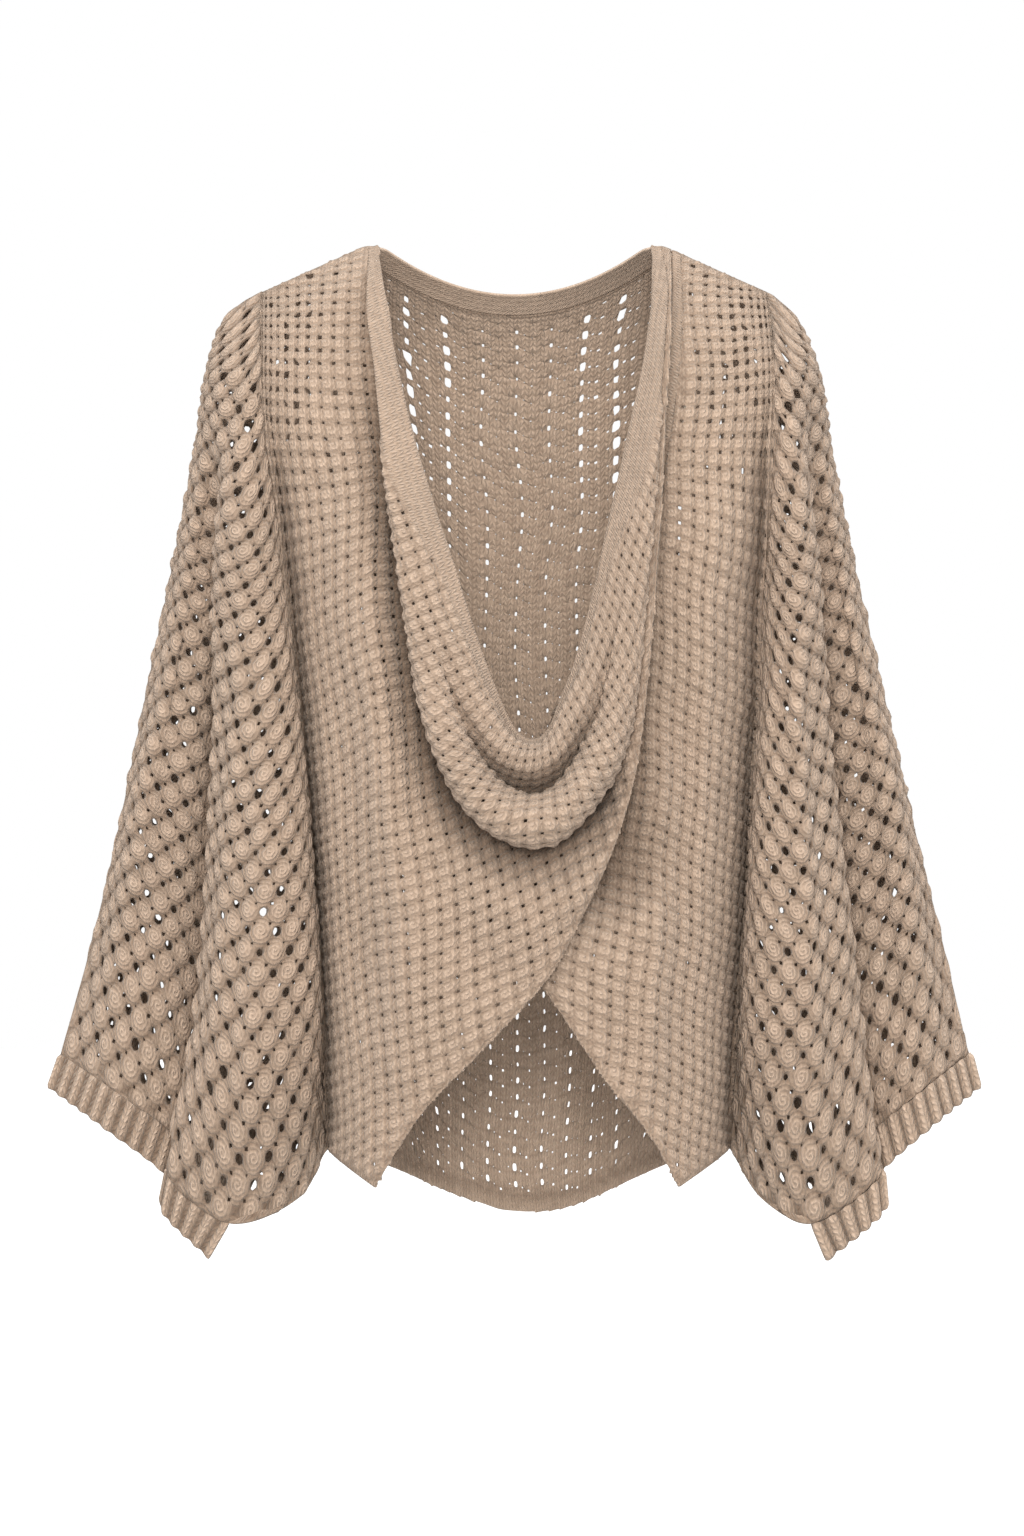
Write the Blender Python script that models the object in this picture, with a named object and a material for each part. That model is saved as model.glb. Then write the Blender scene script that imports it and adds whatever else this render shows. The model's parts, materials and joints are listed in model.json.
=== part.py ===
"""Wrap sweater with batwing sleeves, filled out on a general figure and open inside.

The wearer's right side is at -X and the left side at +X, the front faces -Y and +Z is up.
The origin lies midway between the two neck points, where the shoulders carry the garment.
Sizes are in metres; the tables below are in millimetres and say so.
"""

import bpy
import numpy as np

MM = 0.001
RIGHT, LEFT = -1, 1

# The knit
WALL = 2.5 * MM  # thickness of the lace knit
SEAM_GAP = 0.34 * MM  # between two pieces along their seam
CUFF_GAP = 0.55 * MM  # between a sleeve and its cuff
RIB_HEIGHT = 1.6 * MM  # how far a cuff rib stands out
RIBS_ROUND = 37  # ribs round each cuff
YARN_COLOUR = (0.50, 0.37, 0.27, 1.0)
YARN_ROUGHNESS = 0.92

# Shoulders and back neck
NECK_HALF = 93.5 * MM  # centre to neck point
SHOULDER_SLOPE = 0.45  # fall of the shoulder line for each metre outwards
BACK_NECK_DROP = 33 * MM  # from the neck points down to the middle of the back neck
BAND_HALF = 106 * MM  # centre to the end of the neckband's lower edge
BAND_DROP = 46 * MM  # fall of the neckband's lower edge at the middle of the back

# The wrap: where the two fronts lie on each other
LAYER = 8 * MM  # from the under front out to the over front
LAYER_RISE = 30 * MM  # the fall below the shoulder over which that gap opens
TUCK_UNDER = 5 * MM  # how far in the under front's far end lies at the other shoulder
LIP_LENGTH = 9 * MM  # the rolled-in edge of the over front's neckline
LIP_RADIUS = 4 * MM
COWL_OUT = 0.75  # how far the cowl hangs out, as a share of its rolls' height
COWL_REACH = 70 * MM  # how far that hanging out runs on below the fold
TROUGH_REACH = 16 * MM  # how far a fold's hollow runs on into the cloth beside it

# Cells of each grid
ROWS_A_STATION = 2  # grid rows from one row of a table to the next
LIP_CELLS = 2
ROLL_CELLS = 8  # neck edge to fold line
BODY_CELLS = 8  # fold line to outer edge
SHOULDER_CELLS = 7
BACK_NECK_CELLS = 14
SLEEVE_CELLS = (2, 2, 3, 3, 2, 2)  # between the sleeve's seven lengthwise lines
POINTS_A_RIB = 4
HOLLOW_TURN = 4.0  # how quickly the ribs sink where the cuff folds inwards
HOLLOW_POINTS = 3  # how many points to each side they stay low


def table(columns, *rows):
    """A table as one array for each named column."""
    return dict(zip(columns.split(), np.array(rows, float).T))


# How far the figure's front and back stand off the shoulder line, by the fall below it, in mm.
FIGURE = table(
    "fall front back",
    (0, 0, 0),
    (10, 14, 20),
    (25, 30, 44),
    (45, 45, 64),
    (75, 61, 80),
    (115, 77, 92),
    (170, 93, 101),
    (240, 105, 106),
    (330, 113, 108),
    (440, 119, 107),
    (640, 122, 104),
)

# The two armhole seams from shoulder end to underarm, in mm: how far out and how deep.
ARMHOLE = table(
    "z right left front_y back_y back_in",
    (-34.4, 170.4, 170.4, 0, 0, 0),
    (-80, 169.8, 174, -43, 42, 0),
    (-128, 167.7, 173, -52, 60, 1),
    (-188, 160, 171, -44, 68, 3),
    (-242, 154, 167.5, -32, 72, 4),
    (-310, 147, 165, -25, 74, 6),
    (-377, 141, 160.5, -22, 74, 8),
    (-445, 135, 157, -19, 70, 8),
    (-519, 130.5, 150.5, -15, 54, 5),
    (-612, 126.5, 145, 0, 0, 0),
)
UNDERARM_ROW = len(ARMHOLE["z"]) - 1

# The over front from the right neck point round the V to the left neck point, in mm: its
# neck edge, the line of its second fold, how far the lapel and the rolls stand out, and how
# deep the fold is. Its outer edge is the armhole seam as far as the underarm.
OVER = table(
    "neck_x neck_z fold_x fold_z lapel rolls trough",
    (-93.5, 0, -98, -2, 0, 0, 0),
    (-90, -43, -101, -47, 4, 0, 1),
    (-82, -84, -96, -89, 5, 0, 2),
    (-70.5, -134, -91, -141, 7, 0, 3),
    (-57, -180, -85, -189, 9, 0, 4),
    (-44, -219, -78, -236, 11, 0, 4.5),
    (-29.5, -265, -70.5, -287, 13, 1, 5),
    (-16.5, -301, -61, -330, 13, 6, 8),
    (-4, -328, -41, -376, 7, 14, 14),
    (5.5, -338, -18, -401, 3, 19, 18),
    (13, -339.5, 4, -411, 2, 21, 19),
    (18.5, -337, 22, -411, 2, 21, 19),
    (24, -330, 38, -402, 3, 19, 18),
    (29.5, -317, 52, -388, 5, 16, 16),
    (34, -306, 61, -376, 7, 12, 13),
    (39, -294, 69, -363, 9, 9, 10),
    (44, -278, 75, -345, 10, 6, 8),
    (50, -255, 80, -315, 11, 3, 5),
    (56, -230, 84, -280, 11.5, 1, 3),
    (64, -194, 88, -232, 11, 0, 2),
    (76, -141, 94, -165, 9, 0, 1),
    (86, -95, 97.5, -112, 7, 0, 0.5),
    (92.5, -56, 101, -66, 5, 0, 0),
    (96.5, -26, 103, -31, 3, 0, 0),
    (93.5, 0, 99, -2.5, 0, 0, 0),
)
# Its free edge from the hem tip up over the crossing to the left neck point, in mm.
OVER_FREE_EDGE = table(
    "x z",
    (-93, -634),
    (-62, -585),
    (-20, -541),
    (22, -495),
    (46, -452),
    (62, -418),
    (74, -384),
    (82.5, -347),
    (88, -303),
    (93, -250),
    (98, -180),
    (101, -122),
    (104.5, -72),
    (105.5, -34),
    (105.5, -5.4),
)

# The under front the other way round. Behind the over front it is finished plainly.
UNDER = table(
    "neck_x neck_z fold_x fold_z lapel rolls trough",
    (107, -6, 112, -8.5, 0, 0, 0),
    (104.5, -55, 112, -60, 0, 0, 0),
    (93, -104, 107, -112, 0, 0, 0),
    (81, -146, 100, -156, 0, 0, 0),
    (71, -188, 92, -202, 0, 0, 0),
    (60, -226, 84, -246, 0, 0, 0),
    (49, -262, 74, -290, 0, 0, 0),
    (39, -292, 64, -330, 0, 0, 0),
    (30, -312, 53, -366, 0, 0, 0),
    (24, -324, 44, -390, 0, 0, 0),
    (18, -335, 36, -402, 0, 0, 0),
    (10, -344, 24, -408, 0, 0, 0),
    (2, -348, 10, -408, 0, 0, 0),
    (-5, -348, -2, -402, 0, 0, 0),
    (-12, -343, -13, -390, 0, 0, 0),
    (-20, -330, -28, -366, 0, 0, 0),
    (-29, -310, -44, -340, 0, 0, 0),
    (-40, -282, -59, -306, 0, 0, 0),
    (-52, -242, -71, -257, 0, 0, 0),
    (-68, -184, -83, -192, 0, 0, 0),
    (-84, -118, -93, -122, 0, 0, 0),
    (-98, -14, -102, -15, 0, 0, 0),
)
UNDER_FREE_EDGE = table(
    "x z",
    (110, -634),
    (88, -597),
    (57, -558),
    (20, -503),
    (-14, -462),
    (-44, -426),
    (-66, -386),
    (-82, -336),
    (-92, -272),
    (-98, -202),
    (-102, -126),
    (-106, -16),
)

# The back hem, in mm.
BACK_HEM = table(
    "x z",
    (-126.5, -612),
    (-86, -628),
    (-55, -642),
    (-26, -653),
    (10, -660),
    (35, -657),
    (59, -648),
    (84, -636),
    (110, -624),
    (145, -612),
)

# Seven lines run down each sleeve's front half and seven down its back half, in mm: height,
# depth, and how far out on the right and on the left sleeve. The first is the over-arm line,
# the last is the armhole seam, and the fifth ends where the ribs end at the underarm.
OVER_ARM = table(
    "z y right left",
    (-54.7, 2, 198, 192.7),
    (-81, 7, 206, 203.5),
    (-133, 10, 214.5, 212.5),
    (-212, 12, 230, 228.5),
    (-306, 14, 249.5, 250),
    (-408, 15, 270.5, 273.5),
    (-477, 15, 287, 290.5),
    (-549, 12, 307, 307),
)
FRONT_LINES = (
    OVER_ARM,
    table(
        "z y right left",
        (-51, 1, 195, 190),
        (-81, -17, 203, 201),
        (-130, -24, 208, 207),
        (-212, -30, 219, 219),
        (-306, -30, 234, 237),
        (-420, -25, 250, 256),
        (-574, -18, 268, 273),
    ),
    table(
        "z y right left",
        (-48, 0, 192, 187.5),
        (-81, -30, 197.5, 197),
        (-130, -37, 203, 201),
        (-212, -26, 197, 200),
        (-306, -17, 193, 202),
        (-420, -12, 200, 213),
        (-607, -12, 226, 238),
    ),
    table(
        "z y right left",
        (-44.5, 0, 188, 184),
        (-81, -41, 190, 191),
        (-130, -52, 198, 198),
        (-175, -55, 200, 200.5),
        (-215, -54, 201, 203.5),
        (-267, -52, 202, 207),
        (-344, -50, 205, 212.5),
        (-404, -50, 209, 218.5),
        (-477, -48, 213.5, 226.5),
        (-576, -42, 224, 237),
        (-630, -34, 232.5, 245),
    ),
    table(
        "z y right left",
        (-39.5, 0, 181, 178),
        (-81, -48, 181, 184),
        (-130, -60, 184, 187),
        (-212, -70, 180, 190),
        (-306, -78, 177, 190),
        (-420, -84, 178, 192),
        (-540, -80, 182, 197),
        (-661, -44, 191, 200),
    ),
    table(
        "z y right left",
        (-36.5, 0, 175, 174.5),
        (-81, -49, 173, 177.5),
        (-130, -58, 173, 177.5),
        (-212, -60, 162, 175),
        (-306, -66, 150, 170),
        (-420, -72, 140, 162),
        (-540, -64, 136, 159),
        (-645, -30, 145.5, 168),
    ),
)
BACK_LINES = (
    OVER_ARM,
    table(
        "z y right left",
        (-51, 3, 195, 190),
        (-81, 28, 203, 201),
        (-133, 42, 208, 207),
        (-212, 52, 221, 220),
        (-306, 56, 236, 238),
        (-408, 56, 253, 257),
        (-573, 44, 266, 270),
    ),
    table(
        "z y right left",
        (-48, 4, 192, 187.5),
        (-81, 38, 198, 196.5),
        (-133, 58, 200, 199),
        (-212, 72, 206, 207),
        (-306, 78, 214, 218),
        (-408, 78, 226, 232),
        (-598, 50, 238, 246),
    ),
    table(
        "z y right left",
        (-44.5, 4, 188, 184),
        (-81, 44, 191, 190.5),
        (-133, 66, 191, 191),
        (-212, 82, 190, 194),
        (-306, 90, 190, 198),
        (-408, 90, 196, 206),
        (-632, 36, 214, 224),
    ),
    table(
        "z y right left",
        (-39.5, 3, 181, 178),
        (-81, 46, 182, 184),
        (-133, 68, 180, 184),
        (-212, 86, 174, 184),
        (-306, 94, 168, 182),
        (-408, 94, 168, 184),
        (-661, -44, 191, 200),
    ),
    table(
        "z y right left",
        (-36.5, 2, 175, 174.5),
        (-81, 44, 175, 178),
        (-133, 65, 172, 177),
        (-212, 80, 162, 173),
        (-306, 87, 151, 167),
        (-408, 88, 144, 161),
        (-645, -30, 145.5, 166),
    ),
)
CUFF_LINE = 4  # the line at which the ribs end and the underarm begins

# Where those lines end at the sleeve's hem, under the ribs, in mm.
FRONT_HEM = table(
    "z y right left",
    (-572, 12, 315, 313),
    (-598, -15, 277, 279),
    (-632, -14, 234, 244),
    (-653, -36, 237, 247),
    (-685, -38, 205, 210),
)
BACK_HEM_LINES = table(
    "z y right left",
    (-572, 12, 315, 313),
    (-594, 42, 280, 282),
    (-620, 46, 246, 252),
    (-650, 28, 226, 234),
    (-685, -38, 205, 210),
)


def smooth(at, stations, values):
    """Values along a smooth curve through the stations: cubic runs that share their slopes."""
    stations = np.asarray(stations, float)
    values = np.asarray(values, float)
    at = np.clip(np.asarray(at, float), stations[0], stations[-1])
    slopes = np.gradient(values, stations, axis=0)
    low = np.clip(np.searchsorted(stations, at, side="right") - 1, 0, len(stations) - 2)
    width = stations[low + 1] - stations[low]
    s = (at - stations[low]) / width
    extra = (1,) * (values.ndim - 1)
    s = s.reshape(s.shape + extra)
    width = width.reshape(width.shape + extra)
    start = (1 + 2 * s) * (1 - s) ** 2 * values[low] + s * (1 - s) ** 2 * width * slopes[low]
    end = s**2 * (3 - 2 * s) * values[low + 1] + s**2 * (s - 1) * width * slopes[low + 1]
    return start + end


def fade(share):
    """0 below 0, 1 above 1 and a smooth rise between."""
    share = np.clip(share, 0, 1)
    return share * share * (3 - 2 * share)


def unit(vectors):
    return vectors / np.maximum(np.linalg.norm(vectors, axis=-1, keepdims=True), 1e-12)


def column(rows, name, at):
    """A table's column in metres, at places counted in rows."""
    return smooth(at, np.arange(len(rows[name])), rows[name]) * MM


def by_height(rows, name, z):
    """A table's column in metres at heights in metres. The table runs from the top down."""
    return smooth(-z / MM, -rows["z"], rows[name]) * MM


def shoulder_height(x):
    """Height of the shoulder line: level inside the neck points and falling outside them."""
    return -SHOULDER_SLOPE * np.maximum(np.abs(x) - NECK_HALF, 0)


def figure_depth(x, z, which, seam_y):
    """Depth of the figure at a place seen from the front: it grows with the fall below the
    shoulder, and a rounded power curve brings it to the armhole seam's depth at the sides."""
    reach = np.where(x < 0, by_height(ARMHOLE, "right", z), by_height(ARMHOLE, "left", z))
    edge = np.abs(by_height(ARMHOLE, seam_y, z))
    fall = np.maximum(shoulder_height(x) - z, 0)
    full = smooth(fall / MM, FIGURE["fall"], FIGURE[which]) * MM
    share = np.clip(np.abs(x) / reach, 0, 1)
    return edge + (full - edge) * np.sqrt(1 - share**3)


def armhole_seam(side, which, at):
    """The front or back armhole seam of one side, at places counted in rows of its table."""
    out = column(ARMHOLE, "right" if side == RIGHT else "left", at)
    out = out - (column(ARMHOLE, "back_in", at) if which == "back" else 0)
    depth = column(ARMHOLE, which + "_y", at)
    return np.stack([side * out, depth, column(ARMHOLE, "z", at)], -1)


def front(side, shape, free_edge, lip_cells, over):
    """One front as a grid. Its rows run from the neck edge outwards and its columns from its
    own shoulder down the armhole, along the hem and up the free edge to the other neck
    point. Each row is straight from the front, and its depth is the figure's, plus the
    layer, the lapel's arc and the squared sine waves of the rolls."""
    stations = len(shape["neck_x"]) - 1
    at = np.arange(stations * ROWS_A_STATION + 1) / ROWS_A_STATION
    neck = np.stack([column(shape, "neck_x", at), column(shape, "neck_z", at)], -1)
    fold = np.stack([column(shape, "fold_x", at), column(shape, "fold_z", at)], -1)
    seam = armhole_seam(side, "front", at)[:, (0, 2)]
    up = at - UNDERARM_ROW - 1
    free = np.stack([column(free_edge, "x", up), column(free_edge, "z", up)], -1)
    hem = np.clip(at - UNDERARM_ROW, 0, 1)[:, None]
    outer = np.where(at[:, None] <= UNDERARM_ROW, seam, free)
    corner = armhole_seam(side, "front", np.array([float(UNDERARM_ROW)]))[:, (0, 2)]
    outer = np.where((hem > 0) & (hem < 1), corner * (1 - hem) + free[:1] * hem, outer)

    roll = np.linspace(0, 1, ROLL_CELLS + 1)
    body = np.linspace(0, 1, BODY_CELLS + 1)[1:]
    body = 1 - (1 - body) ** 1.25
    near = neck[:, None] + (fold - neck)[:, None] * roll[None, :, None]
    far = fold[:, None] + (outer - fold)[:, None] * body[None, :, None]
    flat = np.concatenate([near, far], axis=1)
    x, z = flat[..., 0], flat[..., 1]

    q = np.concatenate([roll, np.ones(BODY_CELLS)])[None]
    r = np.concatenate([np.zeros(ROLL_CELLS + 1), body])[None]
    run = np.linalg.norm(outer - fold, axis=-1)[:, None] * r
    lapel = column(shape, "lapel", at)[:, None] * 4 * q * (1 - q)
    rolls = column(shape, "rolls", at)[:, None] * np.sin(2 * np.pi * q) ** 2
    hollow = column(shape, "trough", at)[:, None] * q**6 * np.exp(-run / TROUGH_REACH)
    cowl = COWL_OUT * column(shape, "rolls", at)[:, None] * fade(2.5 * q)
    relief = lapel + rolls + cowl * np.exp(-run / COWL_REACH) - hollow

    fall = np.maximum(shoulder_height(x) - z, 0)
    opened = fade(fall / LAYER_RISE)
    if over:
        own_side = fade((UNDERARM_ROW + 1 - at) / 2)[:, None]
        layer = LAYER * opened * (1 - own_side * fade(1.6 * r - 0.3))
    else:
        far_side = fade((-side * x) / NECK_HALF + 0.5)
        layer = -TUCK_UNDER * (1 - opened) * far_side
    depth = figure_depth(x, z, "front", "front_y") + layer + relief
    seam_rows = at <= UNDERARM_ROW
    grid = np.stack([x, -depth, z], -1)
    grid[seam_rows, -1] = armhole_seam(side, "front", at[seam_rows])
    if not over:
        return grid

    # The lip turns in behind the neck edge along an arc, and runs flat at the two ends.
    turned = fade(np.minimum(at, stations - at) / 2)[:, None]
    along = np.linspace(-1, 0, lip_cells + 1)[None, :-1] * (MM + (LIP_LENGTH - MM) * turned)
    bend = np.maximum(turned, 1e-3) / LIP_RADIUS
    away = unit(neck - fold)
    out = np.sin(-along * bend) / bend
    back = (1 - np.cos(-along * bend)) / bend
    lip = np.stack(
        [
            neck[:, None, 0] + away[:, None, 0] * out,
            grid[:, :1, 1] + back,
            neck[:, None, 1] + away[:, None, 1] * out,
        ],
        -1,
    )
    return np.concatenate([lip, grid], axis=1)


def band_edge(x):
    """Height of the neckband's lower edge: a parabola that ends on the shoulder line."""
    ends = shoulder_height(np.array(BAND_HALF))
    return ends - (BAND_DROP + ends) * (1 - (x / BAND_HALF) ** 2)


def back_panel():
    """The back as a grid. Rows share the armhole's heights. A row's points keep their shares
    of its half-width, and a column's heights run from the shoulder or neckband to the hem."""
    at = np.arange(UNDERARM_ROW * ROWS_A_STATION + 1) / ROWS_A_STATION
    z_side = column(ARMHOLE, "z", at)
    share_down = ((z_side - z_side[0]) / (z_side[-1] - z_side[0]))[:, None]
    reach = ARMHOLE["right"][0] * MM
    inner = BAND_HALF / reach
    s = np.concatenate(
        [
            np.linspace(-1, -inner, SHOULDER_CELLS + 1),
            np.linspace(-inner, inner, BACK_NECK_CELLS + 1)[1:],
            np.linspace(inner, 1, SHOULDER_CELLS + 1)[1:],
        ]
    )
    right = -armhole_seam(RIGHT, "back", at)[:, :1]
    left = armhole_seam(LEFT, "back", at)[:, :1]
    half = np.where(s[None] < 0, right, left)
    x = half * s[None]
    top_x = s * reach
    top = np.where(np.abs(top_x) < BAND_HALF, band_edge(top_x), shoulder_height(top_x))
    bottom = smooth(x[-1] / MM, BACK_HEM["x"], BACK_HEM["z"]) * MM
    z = top[None] + (bottom - top)[None] * share_down
    grid = np.stack([x, figure_depth(x, z, "back", "back_y"), z], -1)
    grid[:, 0] = armhole_seam(RIGHT, "back", at)
    grid[:, -1] = armhole_seam(LEFT, "back", at)
    return grid


def neckband():
    """The plain band round the back neck, from its upper edge, a parabola, to its lower one."""
    s = np.linspace(-1, 1, BACK_NECK_CELLS + 1)[None]
    down = np.linspace(0, 1, 3)[:, None]
    x = s * (NECK_HALF + (BAND_HALF - NECK_HALF) * down)
    upper = -BACK_NECK_DROP * (1 - s**2)
    z = upper + (band_edge(s * BAND_HALF) - upper) * down
    return np.stack([x, figure_depth(x, z, "back", "back_y"), z], -1)


def places_across(spans):
    """Grid places over the first spans between a sleeve's lines, counted in lines."""
    places = [np.array([0.0])]
    for line, cells in enumerate(SLEEVE_CELLS[:spans]):
        places.append(line + (np.arange(cells) + 1) / cells)
    return np.concatenate(places)


def sleeve_half(side, lines, which):
    """Half a sleeve as a grid between seven lines that run down it. Rows share the armhole's
    rows, and each line is smooth along its length and across to the next."""
    at = np.arange(UNDERARM_ROW * ROWS_A_STATION + 1) / ROWS_A_STATION
    seam = armhole_seam(side, which, at)
    down = (seam[:, 2] - seam[0, 2]) / (seam[-1, 2] - seam[0, 2])
    name = "right" if side == RIGHT else "left"
    runs = []
    for line in lines:
        z = (line["z"][0] + (line["z"][-1] - line["z"][0]) * down) * MM
        out = by_height(line, name, z)
        runs.append(np.stack([side * out, by_height(line, "y", z), z], -1))
    runs.append(seam)
    across = smooth(places_across(len(SLEEVE_CELLS)), np.arange(len(runs)), np.array(runs))
    return np.swapaxes(across, 0, 1)


def hem_line(side, ends):
    """The sleeve's hem at the same places across as the grid above it."""
    name = "right" if side == RIGHT else "left"
    points = np.stack([side * ends[name], ends["y"], ends["z"]], -1) * MM
    return smooth(places_across(CUFF_LINE), np.arange(len(points)), points)


def normals_of(grid, outward):
    """Unit normals of a grid, turned so that the middle one looks the outward way."""
    down = np.gradient(grid, axis=0)
    across = np.gradient(grid, axis=1)
    found = unit(np.cross(down, across))
    total = found.reshape(-1, 3).sum(0)
    return found if total @ np.array(outward, float) > 0 else -found


def share_normals(bias, *edges):
    """Gives matching edges one set of normals: their sum, and a bias for a sharp fold."""
    total = np.zeros_like(edges[0][0][edges[0][1]])
    for normals, place in edges:
        total = total + normals[place]
    total = unit(total + np.array(bias, float))
    for normals, place in edges:
        normals[place] = total


def part_edge(layers, normals, place, inside):
    """Moves a seam edge half the gap away from its neighbour, square to the seam's run and to
    the shared normal, on the piece's own side."""
    run = unit(np.gradient(layers[0][place], axis=0))
    facing = normals[place]
    aside = layers[0][inside] - layers[0][place]
    for direction in (run, facing):
        aside = aside - (aside * direction).sum(-1, keepdims=True) * direction
        aside = aside - (aside * run).sum(-1, keepdims=True) * run
    move = unit(aside) * SEAM_GAP / 2
    for layer in layers:
        layer[place] += move


def knit_material(name):
    made = bpy.data.materials.new(name)
    made.use_nodes = True
    shader = made.node_tree.nodes["Principled BSDF"]
    shader.inputs["Base Color"].default_value = YARN_COLOUR
    shader.inputs["Roughness"].default_value = YARN_ROUGHNESS
    shader.inputs["Metallic"].default_value = 0.0
    made.diffuse_color = YARN_COLOUR
    return made


def wall(name, outer, inner, ring=False):
    """A closed wall between an outer and an inner grid, as one object of its own. In a ring
    the last column joins the first."""
    rows, columns = outer.shape[:2]
    index = np.arange(rows * columns).reshape(rows, columns)
    if ring:
        index = np.concatenate([index, index[:, :1]], axis=1)
    count = rows * columns
    a, b = index[:-1, :-1].ravel(), index[:-1, 1:].ravel()
    c, d = index[1:, 1:].ravel(), index[1:, :-1].ravel()
    first = np.concatenate([np.stack([a, b, c], 1), np.stack([a, c, d], 1)])
    faces = [first, first[:, ::-1] + count]
    rims = [(index[0], True), (index[-1], False)]
    if not ring:
        rims += [(index[:, 0], False), (index[:, -1], True)]
    for rim, turned in rims:
        # Each rim is parted the same way, so that it lies flat along its neighbour's.
        low, high = rim[:-1], rim[1:]
        strip = np.concatenate(
            [np.stack([low, high + count, high], 1), np.stack([low, low + count, high + count], 1)]
        )
        faces.append(strip if turned else strip[:, ::-1])
    points = np.concatenate([outer.reshape(-1, 3), inner.reshape(-1, 3)])
    faces = np.concatenate(faces)
    corners = points[faces]
    volume = (np.cross(corners[:, 0], corners[:, 1]) * corners[:, 2]).sum()
    if volume < 0:
        faces = faces[:, ::-1]
    mesh = bpy.data.meshes.new(name)
    mesh.from_pydata(points.tolist(), [], faces.tolist())
    mesh.shade_smooth()
    mesh.materials.append(knit_material(name))
    made = bpy.data.objects.new(name, mesh)
    bpy.context.scene.collection.objects.link(made)
    return made


def cuff(side, front_grid, back_grid, front_normals, back_normals):
    """The ribbed cuff: a ring that goes on from the sleeve's two halves to the hem. Its ribs
    are squared waves raised along the outer normals, and they start just below the seam."""
    stop = sum(SLEEVE_CELLS[:CUFF_LINE]) + 1
    top = np.concatenate([front_grid[-1, :stop], back_grid[-1, stop - 2 : 0 : -1]])
    facing = np.concatenate([front_normals[-1, :stop], back_normals[-1, stop - 2 : 0 : -1]])
    front_hem = hem_line(side, FRONT_HEM)
    back_hem = hem_line(side, BACK_HEM_LINES)
    hem = np.concatenate([front_hem, back_hem[-2:0:-1]])
    middle = (top + hem) / 2
    steps = np.linalg.norm(np.roll(middle, -1, 0) - middle, axis=1)
    along = np.concatenate([[0], np.cumsum(steps)])
    even = np.arange(RIBS_ROUND * POINTS_A_RIB) / (RIBS_ROUND * POINTS_A_RIB) * along[-1]
    place = np.unique(np.round(np.concatenate([even, along[:-1]]) / MM, 1)) * MM

    def resampled(values):
        closed = np.concatenate([values, values[:1]])
        return np.stack([np.interp(place, along, closed[:, axis]) for axis in range(3)], -1)

    top, hem, facing = resampled(top), resampled(hem), unit(resampled(facing))
    run = unit(np.roll(top, -1, 0) - np.roll(top, 1, 0))
    fall = hem - top
    square = fall - (fall * run).sum(-1, keepdims=True) * run
    length = np.linalg.norm(fall, axis=1, keepdims=True)
    start = CUFF_GAP / np.maximum(np.linalg.norm(square, axis=1, keepdims=True), 0.75 * length)
    # Ribs stay low in the hollow of the tuck, where they would meet.
    opening = ((np.roll(facing, -1, 0) - np.roll(facing, 1, 0)) * run).sum(-1)
    near = [np.roll(opening, step) for step in range(-HOLLOW_POINTS, HOLLOW_POINTS + 1)]
    low = fade(1 + HOLLOW_TURN * np.minimum(np.min(near, axis=0), 0))
    wave = 0.5 + 0.5 * np.cos(2 * np.pi * RIBS_ROUND * place / along[-1])
    raised = np.array([0, 1.0, 1.0])[:, None] * (wave * low)[None]
    shares = [start, np.full_like(start, 0.16), np.ones_like(start)]
    base = np.stack([top + (hem - top) * share for share in shares])
    normals = np.broadcast_to(facing, base.shape)
    outer = base + normals * RIB_HEIGHT * raised[..., None]
    return outer, base - normals * WALL


def clear_scene():
    for item in list(bpy.data.objects):
        bpy.data.objects.remove(item, do_unlink=True)


def shoulder_normals(grid_edge):
    """Normals of a shoulder seam: square to the shoulder line, seen from the front."""
    side = np.sign(grid_edge[:, 0])
    facing = np.stack([side * SHOULDER_SLOPE, np.zeros(len(side)), np.ones(len(side))], -1)
    return unit(facing)


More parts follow.
